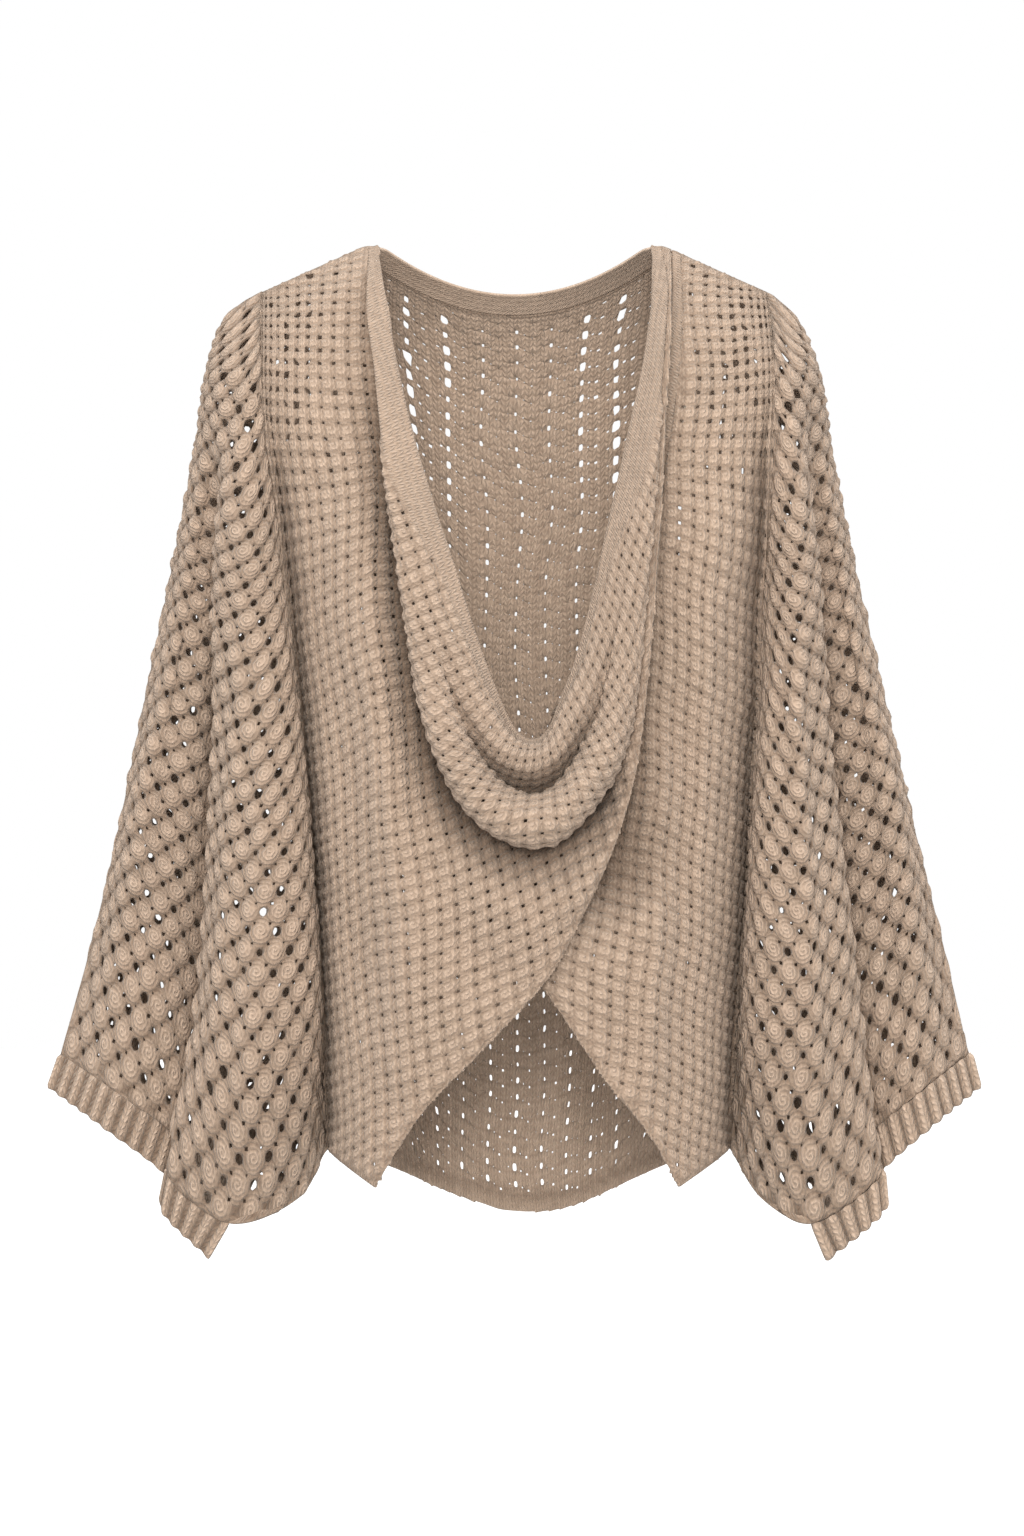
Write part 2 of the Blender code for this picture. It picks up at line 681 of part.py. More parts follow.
def main():
    clear_scene()
    grids = {
        "front_over": front(RIGHT, OVER, OVER_FREE_EDGE, LIP_CELLS, True),
        "front_under": front(LEFT, UNDER, UNDER_FREE_EDGE, 0, False),
        "back": back_panel(),
        "neckband": neckband(),
    }
    outward = {
        "front_over": (0, -1, 0),
        "front_under": (0, -1, 0),
        "back": (0, 1, 0),
        "neckband": (0, 1, 0),
    }
    sleeves = {RIGHT: "sleeve_right", LEFT: "sleeve_left"}
    for side, name in sleeves.items():
        grids[name + "_front"] = sleeve_half(side, FRONT_LINES, "front")
        grids[name + "_back"] = sleeve_half(side, BACK_LINES, "back")
        outward[name + "_front"] = (0, -1, 0)
        outward[name + "_back"] = (0, 1, 0)
        stop = sum(SLEEVE_CELLS[:CUFF_LINE])
        grids[name + "_back"][-1, stop:] = grids[name + "_front"][-1, stop:]
        grids[name + "_back"][0] = grids[name + "_front"][0]
    normals = {name: normals_of(grid, outward[name]) for name, grid in grids.items()}

    armhole_rows = slice(0, UNDERARM_ROW * ROWS_A_STATION + 1)
    fronts = {RIGHT: "front_over", LEFT: "front_under"}
    edges = {name: [] for name in grids}
    last = {name: grid.shape[1] - 1 for name, grid in grids.items()}
    for side, name in sleeves.items():
        front_half, back_half = name + "_front", name + "_back"
        panel = fronts[side]
        side_column = 0 if side == RIGHT else last["back"]
        stop = sum(SLEEVE_CELLS[:CUFF_LINE])
        all_rows = slice(None)
        share_normals(
            (0, -0.6, 0.1),
            (normals[panel], (armhole_rows, last[panel])),
            (normals[front_half], (all_rows, last[front_half])),
        )
        share_normals(
            (0, 0.6, 0.1),
            (normals["back"], (all_rows, side_column)),
            (normals[back_half], (all_rows, last[back_half])),
        )
        share_normals(
            (side * 0.6, 0, 0.1),
            (normals[front_half], (all_rows, 0)),
            (normals[back_half], (all_rows, 0)),
        )
        share_normals(
            (side * 0.3, 0, 0.6),
            (normals[front_half], (0, all_rows)),
            (normals[back_half], (0, all_rows)),
        )
        share_normals(
            (0, 0, -0.6),
            (normals[front_half], (-1, slice(stop, None))),
            (normals[back_half], (-1, slice(stop, None))),
        )
        corner = shoulder_normals(grids[panel][:1, -1])[0]
        normals[front_half][0, -1] = corner
        normals[back_half][0, -1] = corner
        underarm = np.array([0, 0, -1.0])
        for owner, place in (
            (front_half, (-1, -1)),
            (back_half, (-1, -1)),
            (panel, (armhole_rows.stop - 1, -1)),
            ("back", (-1, side_column)),
        ):
            normals[owner][place] = underarm
        edges[panel].append(((armhole_rows, last[panel]), (armhole_rows, last[panel] - 1)))
        inner_column = 1 if side == RIGHT else last["back"] - 1
        edges["back"].append(((all_rows, side_column), (all_rows, inner_column)))
        for half in (front_half, back_half):
            edges[half].append(((all_rows, last[half]), (all_rows, last[half] - 1)))
            edges[half].append(((all_rows, 0), (all_rows, 1)))
            edges[half].append(((0, all_rows), (1, all_rows)))
            edges[half].append(((-1, slice(stop, None)), (-2, slice(stop, None))))

    for name in ("front_over", "front_under"):
        normals[name][0] = shoulder_normals(grids[name][0])
        edges[name].append(((0, slice(None)), (1, slice(None))))
    normals["front_over"][-1] = shoulder_normals(grids["front_over"][-1])
    edges["front_over"].append(((-1, slice(None)), (-2, slice(None))))
    neck_columns = slice(SHOULDER_CELLS, SHOULDER_CELLS + BACK_NECK_CELLS + 1)
    top = shoulder_normals(grids["back"][0])
    for columns in (slice(0, SHOULDER_CELLS + 1), slice(-SHOULDER_CELLS - 1, None)):
        normals["back"][0, columns] = top[columns]
        edges["back"].append(((0, columns), (1, columns)))
    for end in (0, -1):
        normals["neckband"][:, end] = shoulder_normals(grids["neckband"][:, end])
        beside = 1 if end == 0 else -2
        edges["neckband"].append(((slice(None), end), (slice(None), beside)))
    share_normals(
        (0, 0, 0),
        (normals["neckband"], (-1, slice(1, -1))),
        (normals["back"], (0, slice(neck_columns.start + 1, neck_columns.stop - 1))),
    )
    edges["neckband"].append(((-1, slice(None)), (-2, slice(None))))
    edges["back"].append(((0, neck_columns), (1, neck_columns)))

    for name, grid in grids.items():
        layers = [grid.copy(), grid - normals[name] * WALL]
        for place, inside in edges[name]:
            part_edge(layers, normals[name], place, inside)
        wall(name, *layers)
    for side, name in sleeves.items():
        halves = [name + "_front", name + "_back"]
        walls = cuff(
            side,
            *(grids[half] for half in halves),
            *(normals[half] for half in halves),
        )
        wall(name.replace("sleeve", "cuff"), *walls, ring=True)


main()
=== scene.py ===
"""Looks of a wrap sweater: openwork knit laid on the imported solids' form.

Each piece is a smooth surface worked out from short tables, with its own flat coordinates
across and down the knit. A square net of stitches is laid in those coordinates, left open
where the chart has an eyelet and raised where it has a nub, and clipped to the piece's edge.
"""
import json
from itertools import product

import bpy
import numpy as np
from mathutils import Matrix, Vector
from mathutils.bvhtree import BVHTree

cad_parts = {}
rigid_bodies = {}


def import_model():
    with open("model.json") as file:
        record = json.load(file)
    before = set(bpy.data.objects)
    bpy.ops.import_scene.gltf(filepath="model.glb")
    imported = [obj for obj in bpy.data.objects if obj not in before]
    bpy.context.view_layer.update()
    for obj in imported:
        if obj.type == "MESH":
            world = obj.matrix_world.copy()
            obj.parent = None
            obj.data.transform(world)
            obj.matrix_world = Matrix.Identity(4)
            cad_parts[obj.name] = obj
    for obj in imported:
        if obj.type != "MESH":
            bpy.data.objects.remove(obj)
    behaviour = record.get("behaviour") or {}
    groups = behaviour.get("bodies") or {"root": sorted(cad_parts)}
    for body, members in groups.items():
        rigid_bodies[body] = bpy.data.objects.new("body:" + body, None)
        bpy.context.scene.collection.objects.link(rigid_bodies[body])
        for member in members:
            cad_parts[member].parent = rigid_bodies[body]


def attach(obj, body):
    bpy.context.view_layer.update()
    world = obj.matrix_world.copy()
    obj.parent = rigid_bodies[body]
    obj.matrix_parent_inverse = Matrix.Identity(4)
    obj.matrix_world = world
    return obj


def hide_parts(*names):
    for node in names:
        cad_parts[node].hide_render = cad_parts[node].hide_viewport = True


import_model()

MM = 0.001
RIGHT, LEFT = -1, 1
FORWARD, BACKWARD = (0, -1, 0), (0, 1, 0)
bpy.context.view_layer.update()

# The solids' form, and where the cloth departs from it
RIBS_ROUND = 37
NECK_HALF = 93.5 * MM
NECK_ROUNDING = 3 * MM  # how much lower the rounded neck points are than the solids' peaks
SHOULDER_SLOPE = 0.45  # fall of the shoulder line for each metre outwards
BACK_NECK_DROP = 33 * MM
BAND_HALF = 106 * MM  # half the width of the neckband's lower edge
BAND_DROP = 46 * MM  # how far down that edge is in the middle
LAYER = 8 * MM  # how far in front of the under front the over front lies
LAYER_RISE = 30 * MM  # how far below the shoulder line it is that far in front
FOLD_TUCK = 8 * MM  # how far the bottom of a fold runs in under the cloth above it
TUCK_UNDER = 5 * MM  # the under front's setback at the other shoulder
TUCK_BEHIND = 33 * MM  # how far the under front lies back behind the over front
LIP_LENGTH = 9 * MM
LIP_RADIUS = 4 * MM
COWL_OUT = 0.75  # how far the cowl stands out, as a share of the rolls' height
COWL_REACH = 70 * MM  # how far below the rolls that fades away
TROUGH_REACH = 17 * MM  # how wide the hollow outside the second fold is
FOLD_SHADOW = 24 * MM  # how much deeper the second fold is beside a lapel
TROUGH_SHARE = 1.4  # how much deeper than in the solids the second fold is
ROLL_LEAN = 0.4  # how far the lapel and the outer roll hang over, as a share of their height
VALLEY_DEPTH = 26 * MM  # how far a front sinks in beside its armhole seam
VALLEY_REACH = 15 * MM
VALLEY_TOP = 0.09  # how far below the neck points that valley begins, in metres
FOLD_POWER = 12  # how steeply a front falls into its second fold from the neck side
# Middle and half width of the pit between the two rolls, of the cloth that runs in under the
# inner roll there and of the painted shade in that pit, as shares of the way across the rolls
PARTING = (0.48, 0.09)
PARTING_TUCK = (0.46, 0.05)
PARTING_SHADE = (0.42, 0.1)

# Cells of the smooth surfaces under the knit
ROWS_A_STATION = 10
LIP_CELLS = 8
ROLL_CELLS = 48
BODY_CELLS = 60
SHOULDER_CELLS = 24
BACK_NECK_CELLS = 48
SLEEVE_SPAN_CELLS = 12  # between two of the sleeve's lengthwise lines
SLEEVE_SPANS = 6
BAND_CELLS = (120, 16)  # along the neckband and across it
CUFF_CELLS = 20  # from a cuff's upper edge to its hem
AT_ONCE = 500  # places compared with a whole rim at a time
RIB_CELLS = 10  # to each rib round a cuff

# The knit
SKIN = 0.5 * MM  # how far the cloth's outer face lies inside the solids'
CLOTH = 1.7 * MM  # thickness of the knitted cloth
NUB_CELL = 1.95 * MM  # one cell of the net on the fronts, five to a nub
LACE_CELL = 2.12 * MM  # one cell of the net on the sleeves
BACK_CELL = 2.3 * MM  # one cell of the net on the back
RIB_WIDE = 8.6 * MM  # from one cuff rib to the next
WANDER = 1.3 * MM  # how far the yarn strays from its regular course
EDGE_PLAIN = 2.5 * MM  # width of the plain band along a front's free edges
LAPEL_PLAIN = 16 * MM  # how much wider that band is near the neck points
HEM_PLAIN = 9 * MM  # width of the plain band along the back's hem
PLAIN_FADE = 2 * MM  # how wide the change from a plain band to the nubs is
WAVES = 5  # long waves in the course of the rows and columns
WAVE_LENGTHS = (0.07, 0.2)
WAVE_HEIGHT = 1.2 * MM
# How far the nubs, the stitches of the back and the ribs rise from the cloth
NUB_HEIGHT = 2.8 * MM
LACE_HEIGHT = 3 * MM
BACK_HEIGHT = 1.8 * MM
RIB_HEIGHT = 2.4 * MM
SCALLOP = 0.035  # how much longer a cuff is at a rib than between two, as a share
UNEVEN = (0.65, 1.25)  # least and most of an eyelet's width and of a nub's height
UNEVEN_CELLS = 5  # cells each way that share a nub's height
LEAST_CELL = 0.04  # share of a whole cell below which one cut by the edge is left out
OPEN_WIDER = 2.4  # how much wider than its share the widest eyelet opens
PLAIN_STITCH = (4.6 * MM, 5.4 * MM)  # width and height of a stitch along the edges
BACK_STITCH = (4.6 * MM, 3.8 * MM)
STRAND_BUMP = 1.5 * MM  # height of the strands of yarn in the materials


def table(columns, *rows):
    """A table as one array for each named column."""
    return dict(zip(columns.split(), np.array(rows, float).T))


# How far the figure's front and back stand off the shoulder line, by the fall below it, in mm.
FIGURE = table(
    "fall front back",
    (0, 0, 0), (10, 14, 20), (25, 30, 44), (45, 45, 64), (75, 61, 80), (115, 77, 92),
    (170, 93, 101), (240, 105, 106), (330, 113, 108), (440, 119, 107), (640, 122, 104),
)

# The two armhole seams from shoulder end to underarm, in mm: how far out and how deep.
ARMHOLE = table(
    "z right left front_y back_y back_in",
    (-34.4, 170.4, 170.4, 0, 0, 0), (-80, 169.8, 174, -43, 42, 0),
    (-128, 167.7, 173, -52, 60, 1), (-188, 160, 171, -44, 68, 3),
    (-242, 154, 167.5, -32, 72, 4), (-310, 147, 165, -25, 74, 6),
    (-377, 141, 160.5, -22, 74, 8), (-445, 135, 157, -19, 70, 8),
    (-519, 130.5, 150.5, -15, 54, 5), (-612, 126.5, 145, 0, 0, 0),
)
UNDERARM_ROW = len(ARMHOLE["z"]) - 1

# The over front from the right neck point round the V to the left neck point, in mm: its
# neck edge, the line of its second fold, how far the lapel and the rolls stand out, and how
# deep the fold is. Its outer edge is the armhole seam as far as the underarm.
OVER = table(
    "neck_x neck_z fold_x fold_z lapel rolls trough",
    (-93.5, 0, -98, -2, 0, 0, 0), (-90, -43, -101, -47, 4, 0, 1),
    (-82, -84, -96, -89, 5, 0, 2), (-70.5, -134, -91, -141, 7, 0, 3),
    (-57, -180, -85, -189, 9, 0, 4), (-44, -219, -78, -236, 11, 0, 4.5),
    (-29.5, -265, -70.5, -287, 13, 1, 5), (-16.5, -301, -61, -330, 13, 6, 8),
    (-4, -328, -41, -376, 7, 14, 14), (5.5, -338, -18, -401, 3, 19, 18),
    (13, -339.5, 4, -411, 2, 21, 19), (18.5, -337, 22, -411, 2, 21, 19),
    (24, -330, 38, -402, 3, 19, 18), (29.5, -317, 52, -388, 5, 16, 16),
    (34, -306, 61, -376, 7, 12, 13), (39, -294, 69, -363, 9, 9, 10),
    (44, -278, 75, -345, 10, 6, 8), (50, -255, 80, -315, 11, 3, 5),
    (56, -230, 84, -280, 11.5, 1, 3), (64, -194, 88, -232, 11, 0, 2),
    (76, -141, 94, -165, 9, 0, 1), (86, -95, 97.5, -112, 7, 0, 0.5),
    (92.5, -56, 101, -66, 5, 0, 0), (96.5, -26, 103, -31, 3, 0, 0),
    (93.5, 0, 99, -2.5, 0, 0, 0),
)
# Its free edge from the hem tip up over the crossing to the left neck point, in mm.
OVER_FREE_EDGE = table(
    "x z",
    (-93, -634), (-62, -585), (-20, -541), (22, -495), (46, -452), (62, -418), (74, -384),
    (82.5, -347), (88, -303), (93, -250), (98, -180), (101, -122), (104.5, -72), (105.5, -34),
    (105.5, -5.4),
)

# The under front the other way round, with no lapel, rolls or hollow at its second fold.
UNDER = table(
    "neck_x neck_z fold_x fold_z",
    (107, -6, 112, -8.5), (104.5, -55, 112, -60), (93, -104, 107, -112),
    (81, -146, 100, -156), (71, -188, 92, -202), (60, -226, 84, -246), (49, -262, 74, -290),
    (39, -292, 64, -330), (30, -312, 53, -366), (24, -324, 44, -390), (18, -335, 36, -402),
    (10, -344, 24, -408), (2, -348, 10, -408), (-5, -348, -2, -402), (-12, -343, -13, -390),
    (-20, -330, -28, -366), (-29, -310, -44, -340), (-40, -282, -59, -306),
    (-52, -242, -71, -257), (-68, -184, -83, -192), (-84, -118, -93, -122),
    (-98, -14, -102, -15),
)
for name in ("lapel", "rolls", "trough"):
    UNDER[name] = np.zeros(len(UNDER["neck_x"]))
UNDER_FREE_EDGE = table(
    "x z",
    (110, -634), (88, -597), (57, -558), (20, -503), (-14, -462), (-44, -426), (-66, -386),
    (-82, -336), (-92, -272), (-98, -202), (-102, -126), (-106, -16),
)

# The back hem, in mm.
BACK_HEM = table(
    "x z",
    (-126.5, -612), (-86, -628), (-55, -642), (-26, -653), (10, -660), (35, -657), (59, -648),
    (84, -636), (110, -624), (145, -612),
)

# Seven lines run down each sleeve's front half and seven down its back half, in mm: height,
# depth, and how far out on the right and on the left sleeve. The first is the over-arm line,
# the last is the armhole seam, and the fifth ends where the ribs end at the underarm.
OVER_ARM = table(
    "z y right left",
    (-54.7, 2, 198, 192.7), (-81, 7, 206, 203.5), (-133, 10, 214.5, 212.5),
    (-212, 12, 230, 228.5), (-306, 14, 249.5, 250), (-408, 15, 270.5, 273.5),
    (-477, 15, 287, 290.5), (-549, 12, 307, 307),
)


def sleeve_lines(*lines):
    """The over-arm line and the lines after it, each as a table."""
    return [OVER_ARM] + [table("z y right left", *rows) for rows in lines]


FRONT_LINES = sleeve_lines(
    (
        (-51, 1, 195, 190), (-81, -17, 203, 201), (-130, -24, 208, 207),
        (-212, -30, 219, 219), (-306, -30, 234, 237), (-420, -25, 250, 256),
        (-574, -18, 268, 273),
    ),
    (
        (-48, 0, 192, 187.5), (-81, -30, 197.5, 197), (-130, -37, 203, 201),
        (-212, -26, 197, 200), (-306, -17, 193, 202), (-420, -12, 200, 213),
        (-607, -12, 226, 238),
    ),
    (
        (-44.5, 0, 188, 184), (-81, -41, 190, 191), (-130, -52, 198, 198),
        (-175, -55, 200, 200.5), (-215, -54, 201, 203.5), (-267, -52, 202, 207),
        (-344, -50, 205, 212.5), (-404, -50, 209, 218.5), (-477, -48, 213.5, 226.5),
        (-576, -42, 224, 237), (-630, -34, 232.5, 245),
    ),
    (
        (-39.5, 0, 181, 178), (-81, -48, 181, 184), (-130, -60, 184, 187),
        (-212, -70, 180, 190), (-306, -78, 177, 190), (-420, -84, 178, 192),
        (-540, -80, 182, 197), (-661, -44, 191, 200),
    ),
    (
        (-36.5, 0, 175, 174.5), (-81, -49, 173, 177.5), (-130, -58, 173, 177.5),
        (-212, -60, 162, 175), (-306, -66, 150, 170), (-420, -72, 140, 162),
        (-540, -64, 136, 159), (-645, -30, 145.5, 168),
    ),
)
BACK_LINES = sleeve_lines(
    (
        (-51, 3, 195, 190), (-81, 28, 203, 201), (-133, 42, 208, 207), (-212, 52, 221, 220),
        (-306, 56, 236, 238), (-408, 56, 253, 257), (-573, 44, 266, 270),
    ),
    (
        (-48, 4, 192, 187.5), (-81, 38, 198, 196.5), (-133, 58, 200, 199),
        (-212, 72, 206, 207), (-306, 78, 214, 218), (-408, 78, 226, 232),
        (-598, 50, 238, 246),
    ),
    (
        (-44.5, 4, 188, 184), (-81, 44, 191, 190.5), (-133, 66, 191, 191),
        (-212, 82, 190, 194), (-306, 90, 190, 198), (-408, 90, 196, 206),
        (-632, 36, 214, 224),
    ),
    (
        (-39.5, 3, 181, 178), (-81, 46, 182, 184), (-133, 68, 180, 184), (-212, 86, 174, 184),
        (-306, 94, 168, 182), (-408, 94, 168, 184), (-661, -44, 191, 200),
    ),
    (
        (-36.5, 2, 175, 174.5), (-81, 44, 175, 178), (-133, 65, 172, 177),
        (-212, 80, 162, 173), (-306, 87, 151, 167), (-408, 88, 144, 161),
        (-645, -30, 145.5, 166),
    ),
)
CUFF_LINE = 4  # the line at which the ribs end and the underarm begins

# Where those lines end at the sleeve's hem, under the ribs, in mm.
FRONT_HEM = table(
    "z y right left",
    (-572, 12, 315, 313), (-598, -15, 277, 279), (-632, -14, 234, 244), (-653, -36, 237, 247),
    (-685, -38, 205, 210),
)
BACK_HEM_LINES = table(
    "z y right left",
    (-572, 12, 315, 313), (-594, 42, 280, 282), (-620, 46, 246, 252), (-650, 28, 226, 234),
    (-685, -38, 205, 210),
)


def smooth(at, stations, values):
    """Values along a smooth curve through the stations: cubic runs that share their slopes."""
    stations = np.asarray(stations, float)
    values = np.asarray(values, float)
    at = np.clip(np.asarray(at, float), stations[0], stations[-1])
    slopes = np.gradient(values, stations, axis=0)
    low = np.clip(np.searchsorted(stations, at, side="right") - 1, 0, len(stations) - 2)
    width = stations[low + 1] - stations[low]
    s = (at - stations[low]) / width
    extra = (1,) * (values.ndim - 1)
    s = s.reshape(s.shape + extra)
    width = width.reshape(width.shape + extra)
    start = (1 + 2 * s) * (1 - s) ** 2 * values[low] + s * (1 - s) ** 2 * width * slopes[low]
    end = s**2 * (3 - 2 * s) * values[low + 1] + s**2 * (s - 1) * width * slopes[low + 1]
    return start + end


def fade(share):
    """0 below 0, 1 above 1 and a smooth rise between."""
    share = np.clip(share, 0, 1)
    return share * share * (3 - 2 * share)


def bell(value, middle, half):
    """1 in the middle and falling away on both sides."""
    return np.exp(-(((value - middle) / half) ** 2))


def named(side):
    """The name of one of the wearer's sides."""
    return "right" if side == RIGHT else "left"


def unit(vectors):
    """The vectors at length 1."""
    return vectors / np.maximum(np.linalg.norm(vectors, axis=-1, keepdims=True), 1e-12)


def column(rows, name, at):
    """A table's column in metres, at places counted in rows."""
    return smooth(at, np.arange(len(rows[name])), rows[name]) * MM


def by_height(rows, name, z):
    """A table's column in metres at heights in metres. The table runs from the top down."""
    return smooth(-z / MM, -rows["z"], rows[name]) * MM


def shoulder_height(x):
    """Height of the shoulder line: level inside the neck points and falling outside them."""
    return -SHOULDER_SLOPE * np.maximum(np.abs(x) - NECK_HALF, 0)


def rounded_peaks(grid):
    """The grid with both neck points let down: a bell across the peak, gone 20 mm below it."""
    across = bell(np.abs(grid[..., 0]), NECK_HALF, 5 * MM)
    grid[..., 2] -= NECK_ROUNDING * across * fade(grid[..., 2] / (20 * MM) + 1)
    return grid


def figure_depth(x, z, which, seam_y):
    """Depth of the figure at a place seen from the front: it grows with the fall below the
    shoulder, and a rounded power curve brings it to the armhole seam's depth at the sides."""
    reach = np.where(x < 0, by_height(ARMHOLE, "right", z), by_height(ARMHOLE, "left", z))
    edge = np.abs(by_height(ARMHOLE, seam_y, z))
    fall = np.maximum(shoulder_height(x) - z, 0)
    full = smooth(fall / MM, FIGURE["fall"], FIGURE[which]) * MM
    share = np.clip(np.abs(x) / reach, 0, 1)
    return edge + (full - edge) * np.sqrt(1 - share**3)


def creases(rows, x, z):
    """Depth of the soft folds at places seen from the front: each is a bell across its own
    straight line that fades out at both ends. A ridge has a depth below zero."""
    total = np.zeros(np.shape(x))
    for top_x, top_z, low_x, low_z, width, depth in zip(*rows.values()):
        start = np.array([top_x, top_z]) * MM
        run = np.array([low_x, low_z]) * MM - start
        length = np.hypot(*run)
        along = ((x - start[0]) * run[0] + (z - start[1]) * run[1]) / length**2
        aside = ((x - start[0]) * run[1] - (z - start[1]) * run[0]) / length / (width * MM)
        ends = fade(along / 0.35 + 0.5) * fade((1 - along) / 0.35 + 0.5)
        total += depth * MM * ends * np.exp(-(aside**2))
    return total


def armhole_seam(side, which, at):
    """The front or back armhole seam of one side, at places counted in rows of its table."""
    out = column(ARMHOLE, named(side), at)
    out = out - (column(ARMHOLE, "back_in", at) if which == "back" else 0)
    depth = column(ARMHOLE, which + "_y", at)
    return np.stack([side * out, depth, column(ARMHOLE, "z", at)], -1)


def lip_rows(neck, away, edge_y, at):
    """The lip as a grid: it turns in behind the neck edge along an arc, and runs flat at the
    two ends."""
    rounded = fade(np.minimum(at, at[-1] - at) / 2)[:, None]
    along = np.linspace(-1, 0, LIP_CELLS + 1)[None, :-1] * (MM + (LIP_LENGTH - MM) * rounded)
    bend = np.maximum(rounded, 1e-3) / LIP_RADIUS
    out = np.sin(-along * bend) / bend
    back = (1 - np.cos(-along * bend)) / bend
    x, z = (neck[:, None, axis] + away[:, None, axis] * out for axis in (0, 1))
    return np.stack([x, edge_y + back, z], -1)


def front(side, shape, free_edge, folds):
    """One front as a grid. Its rows run from the neck edge outwards and its columns from its
    own shoulder down the armhole, along the hem and up the free edge to the other neck
    point. Each row is straight from the front, and its depth is the figure's, plus the
    layer, the lapel's arc, the two skewed sine arcs of the rolls and the soft folds, less
    the hollow that falls away outside the second fold and the valley beside the armhole
    seam. The lapel and the outer roll lean out over the fold below them. Also gives each
    point's distance in from the neck edge and from the free edge, and, from 0 to 1, how far
    painted shade darkens its colour: in the hollow outside the second fold, between the
    rolls, beside the armhole seam and, on the under front, behind the over front's edge."""
    over = side == RIGHT
    at = np.arange((len(shape["neck_x"]) - 1) * ROWS_A_STATION + 1) / ROWS_A_STATION
    neck = np.stack([column(shape, "neck_x", at), column(shape, "neck_z", at)], -1)
    fold = np.stack([column(shape, "fold_x", at), column(shape, "fold_z", at)], -1)
    seam = armhole_seam(side, "front", at)[:, (0, 2)]
    beside_arm = at <= UNDERARM_ROW
    up = at - UNDERARM_ROW - 1
    free = np.stack([column(free_edge, "x", up), column(free_edge, "z", up)], -1)
    hem = np.clip(at - UNDERARM_ROW, 0, 1)[:, None]
    outer = np.where(beside_arm[:, None], seam, free)
    corner = armhole_seam(side, "front", np.array([float(UNDERARM_ROW)]))[:, (0, 2)]
    outer = np.where((hem > 0) & (hem < 1), corner * (1 - hem) + free[:1] * hem, outer)

    roll = np.linspace(0, 1, ROLL_CELLS + 1)
    body = np.linspace(0, 1, BODY_CELLS + 1)[1:]
    near = neck[:, None] + (fold - neck)[:, None] * roll[None, :, None]
    far = fold[:, None] + (outer - fold)[:, None] * body[None, :, None]
    flat = np.concatenate([near, far], axis=1)
    x, z = flat[..., 0], flat[..., 1]

    q = np.concatenate([roll, np.ones(BODY_CELLS)])[None]
    r = np.concatenate([np.zeros(ROLL_CELLS + 1), body])[None]
    width = np.linalg.norm(outer - fold, axis=-1)[:, None]
    run = width * r
    lapel_height = column(shape, "lapel", at)
    roll_height = column(shape, "rolls", at)[:, None]
    outwards = q**1.5
    lapel = lapel_height[:, None] * (4 * outwards * (1 - outwards)) ** 0.6
    shifted = q**0.8
    outer_roll = shifted > 0.5
    rolled = np.sin(np.pi * (2 * shifted - outer_roll) ** 0.6) ** np.where(outer_roll, 0.5, 1.0)
    rolls = roll_height * rolled
    rolls -= 1.2 * roll_height * bell(shifted, *PARTING)
    at_fold = q**FOLD_POWER
    hollow = TROUGH_SHARE * column(shape, "trough", at)
    hollow = (hollow + FOLD_SHADOW * fade(lapel_height / (9 * MM)))[:, None]
    hollow = hollow * fade((width - 0.02) / 0.06) * at_fold
    hollow = hollow * np.exp(-((run / TROUGH_REACH) ** 1.6))
    cowl = COWL_OUT * roll_height * fade(2.5 * q)
    relief = lapel + rolls + cowl * np.exp(-run / COWL_REACH) - hollow
    relief -= creases(folds, x, z) * fade(run / 0.02) * fade((width - run) / 0.03)
    beside = np.where(beside_arm[:, None], width - run, 1.0)
    valley = fade(beside / (6 * MM)) * bell(beside, 0, VALLEY_REACH) * (r > 0)
    valley_begun = fade((-z - VALLEY_TOP) / 0.1)
    relief -= VALLEY_DEPTH * valley * valley_begun

    fall = np.maximum(shoulder_height(x) - z, 0)
    opened = fade(fall / LAYER_RISE)
    if over:
        own_side = fade((UNDERARM_ROW + 1 - at) / 2)[:, None]
        layer = LAYER * opened * (1 - own_side * fade(1.6 * r - 0.3))
    else:
        far_side = fade((-side * x) / NECK_HALF + 0.5)
        # 1 behind the over front, down to just above the crossing
        behind = fade((0.13 - side * x) / 0.1) * fade((z + 0.47) / 0.05)
        layer = -TUCK_UNDER * (1 - opened) * far_side - TUCK_BEHIND * opened * behind
    depth = figure_depth(x, z, "front", "front_y") + layer + relief
    lean = ROLL_LEAN * np.maximum(lapel + rolls * outer_roll, 0)
    tucked = FOLD_TUCK * fade(hollow[:, ROLL_CELLS, None] / (15 * MM))
    lean -= tucked * at_fold * np.exp(-((run / FOLD_TUCK) ** 2) / 2)
    pocket = roll_height / shape["rolls"].clip(MM).max() / MM
    lean += FOLD_TUCK * pocket * bell(shifted, *PARTING_TUCK)
    lean = lean[..., None] * unit(fold - neck)[:, None]
    # painted shade: the yarn is darkened in the hollow outside the second fold, in the pit
    # between the rolls and in the valley beside the armhole seam
    shade = np.maximum(fade(hollow / (30 * MM)), pocket * bell(shifted, *PARTING_SHADE))
    shade = np.maximum(shade, 0.8 * valley * valley_begun)
    # painted shadow of the over front's edge on the under front behind it
    if not over:
        shade = np.maximum(shade, opened * behind)
    grid = np.stack([x + lean[..., 0], -depth, z + lean[..., 1]], -1)
    grid[beside_arm, -1] = armhole_seam(side, "front", at[beside_arm])

    from_neck = np.linalg.norm(fold - neck, axis=-1)[:, None] * q + run
    from_free = np.where(at[:, None] > UNDERARM_ROW + 0.5, width * (1 - r), 1.0)
    if not over:
        return rounded_peaks(grid), from_neck, from_free, shade

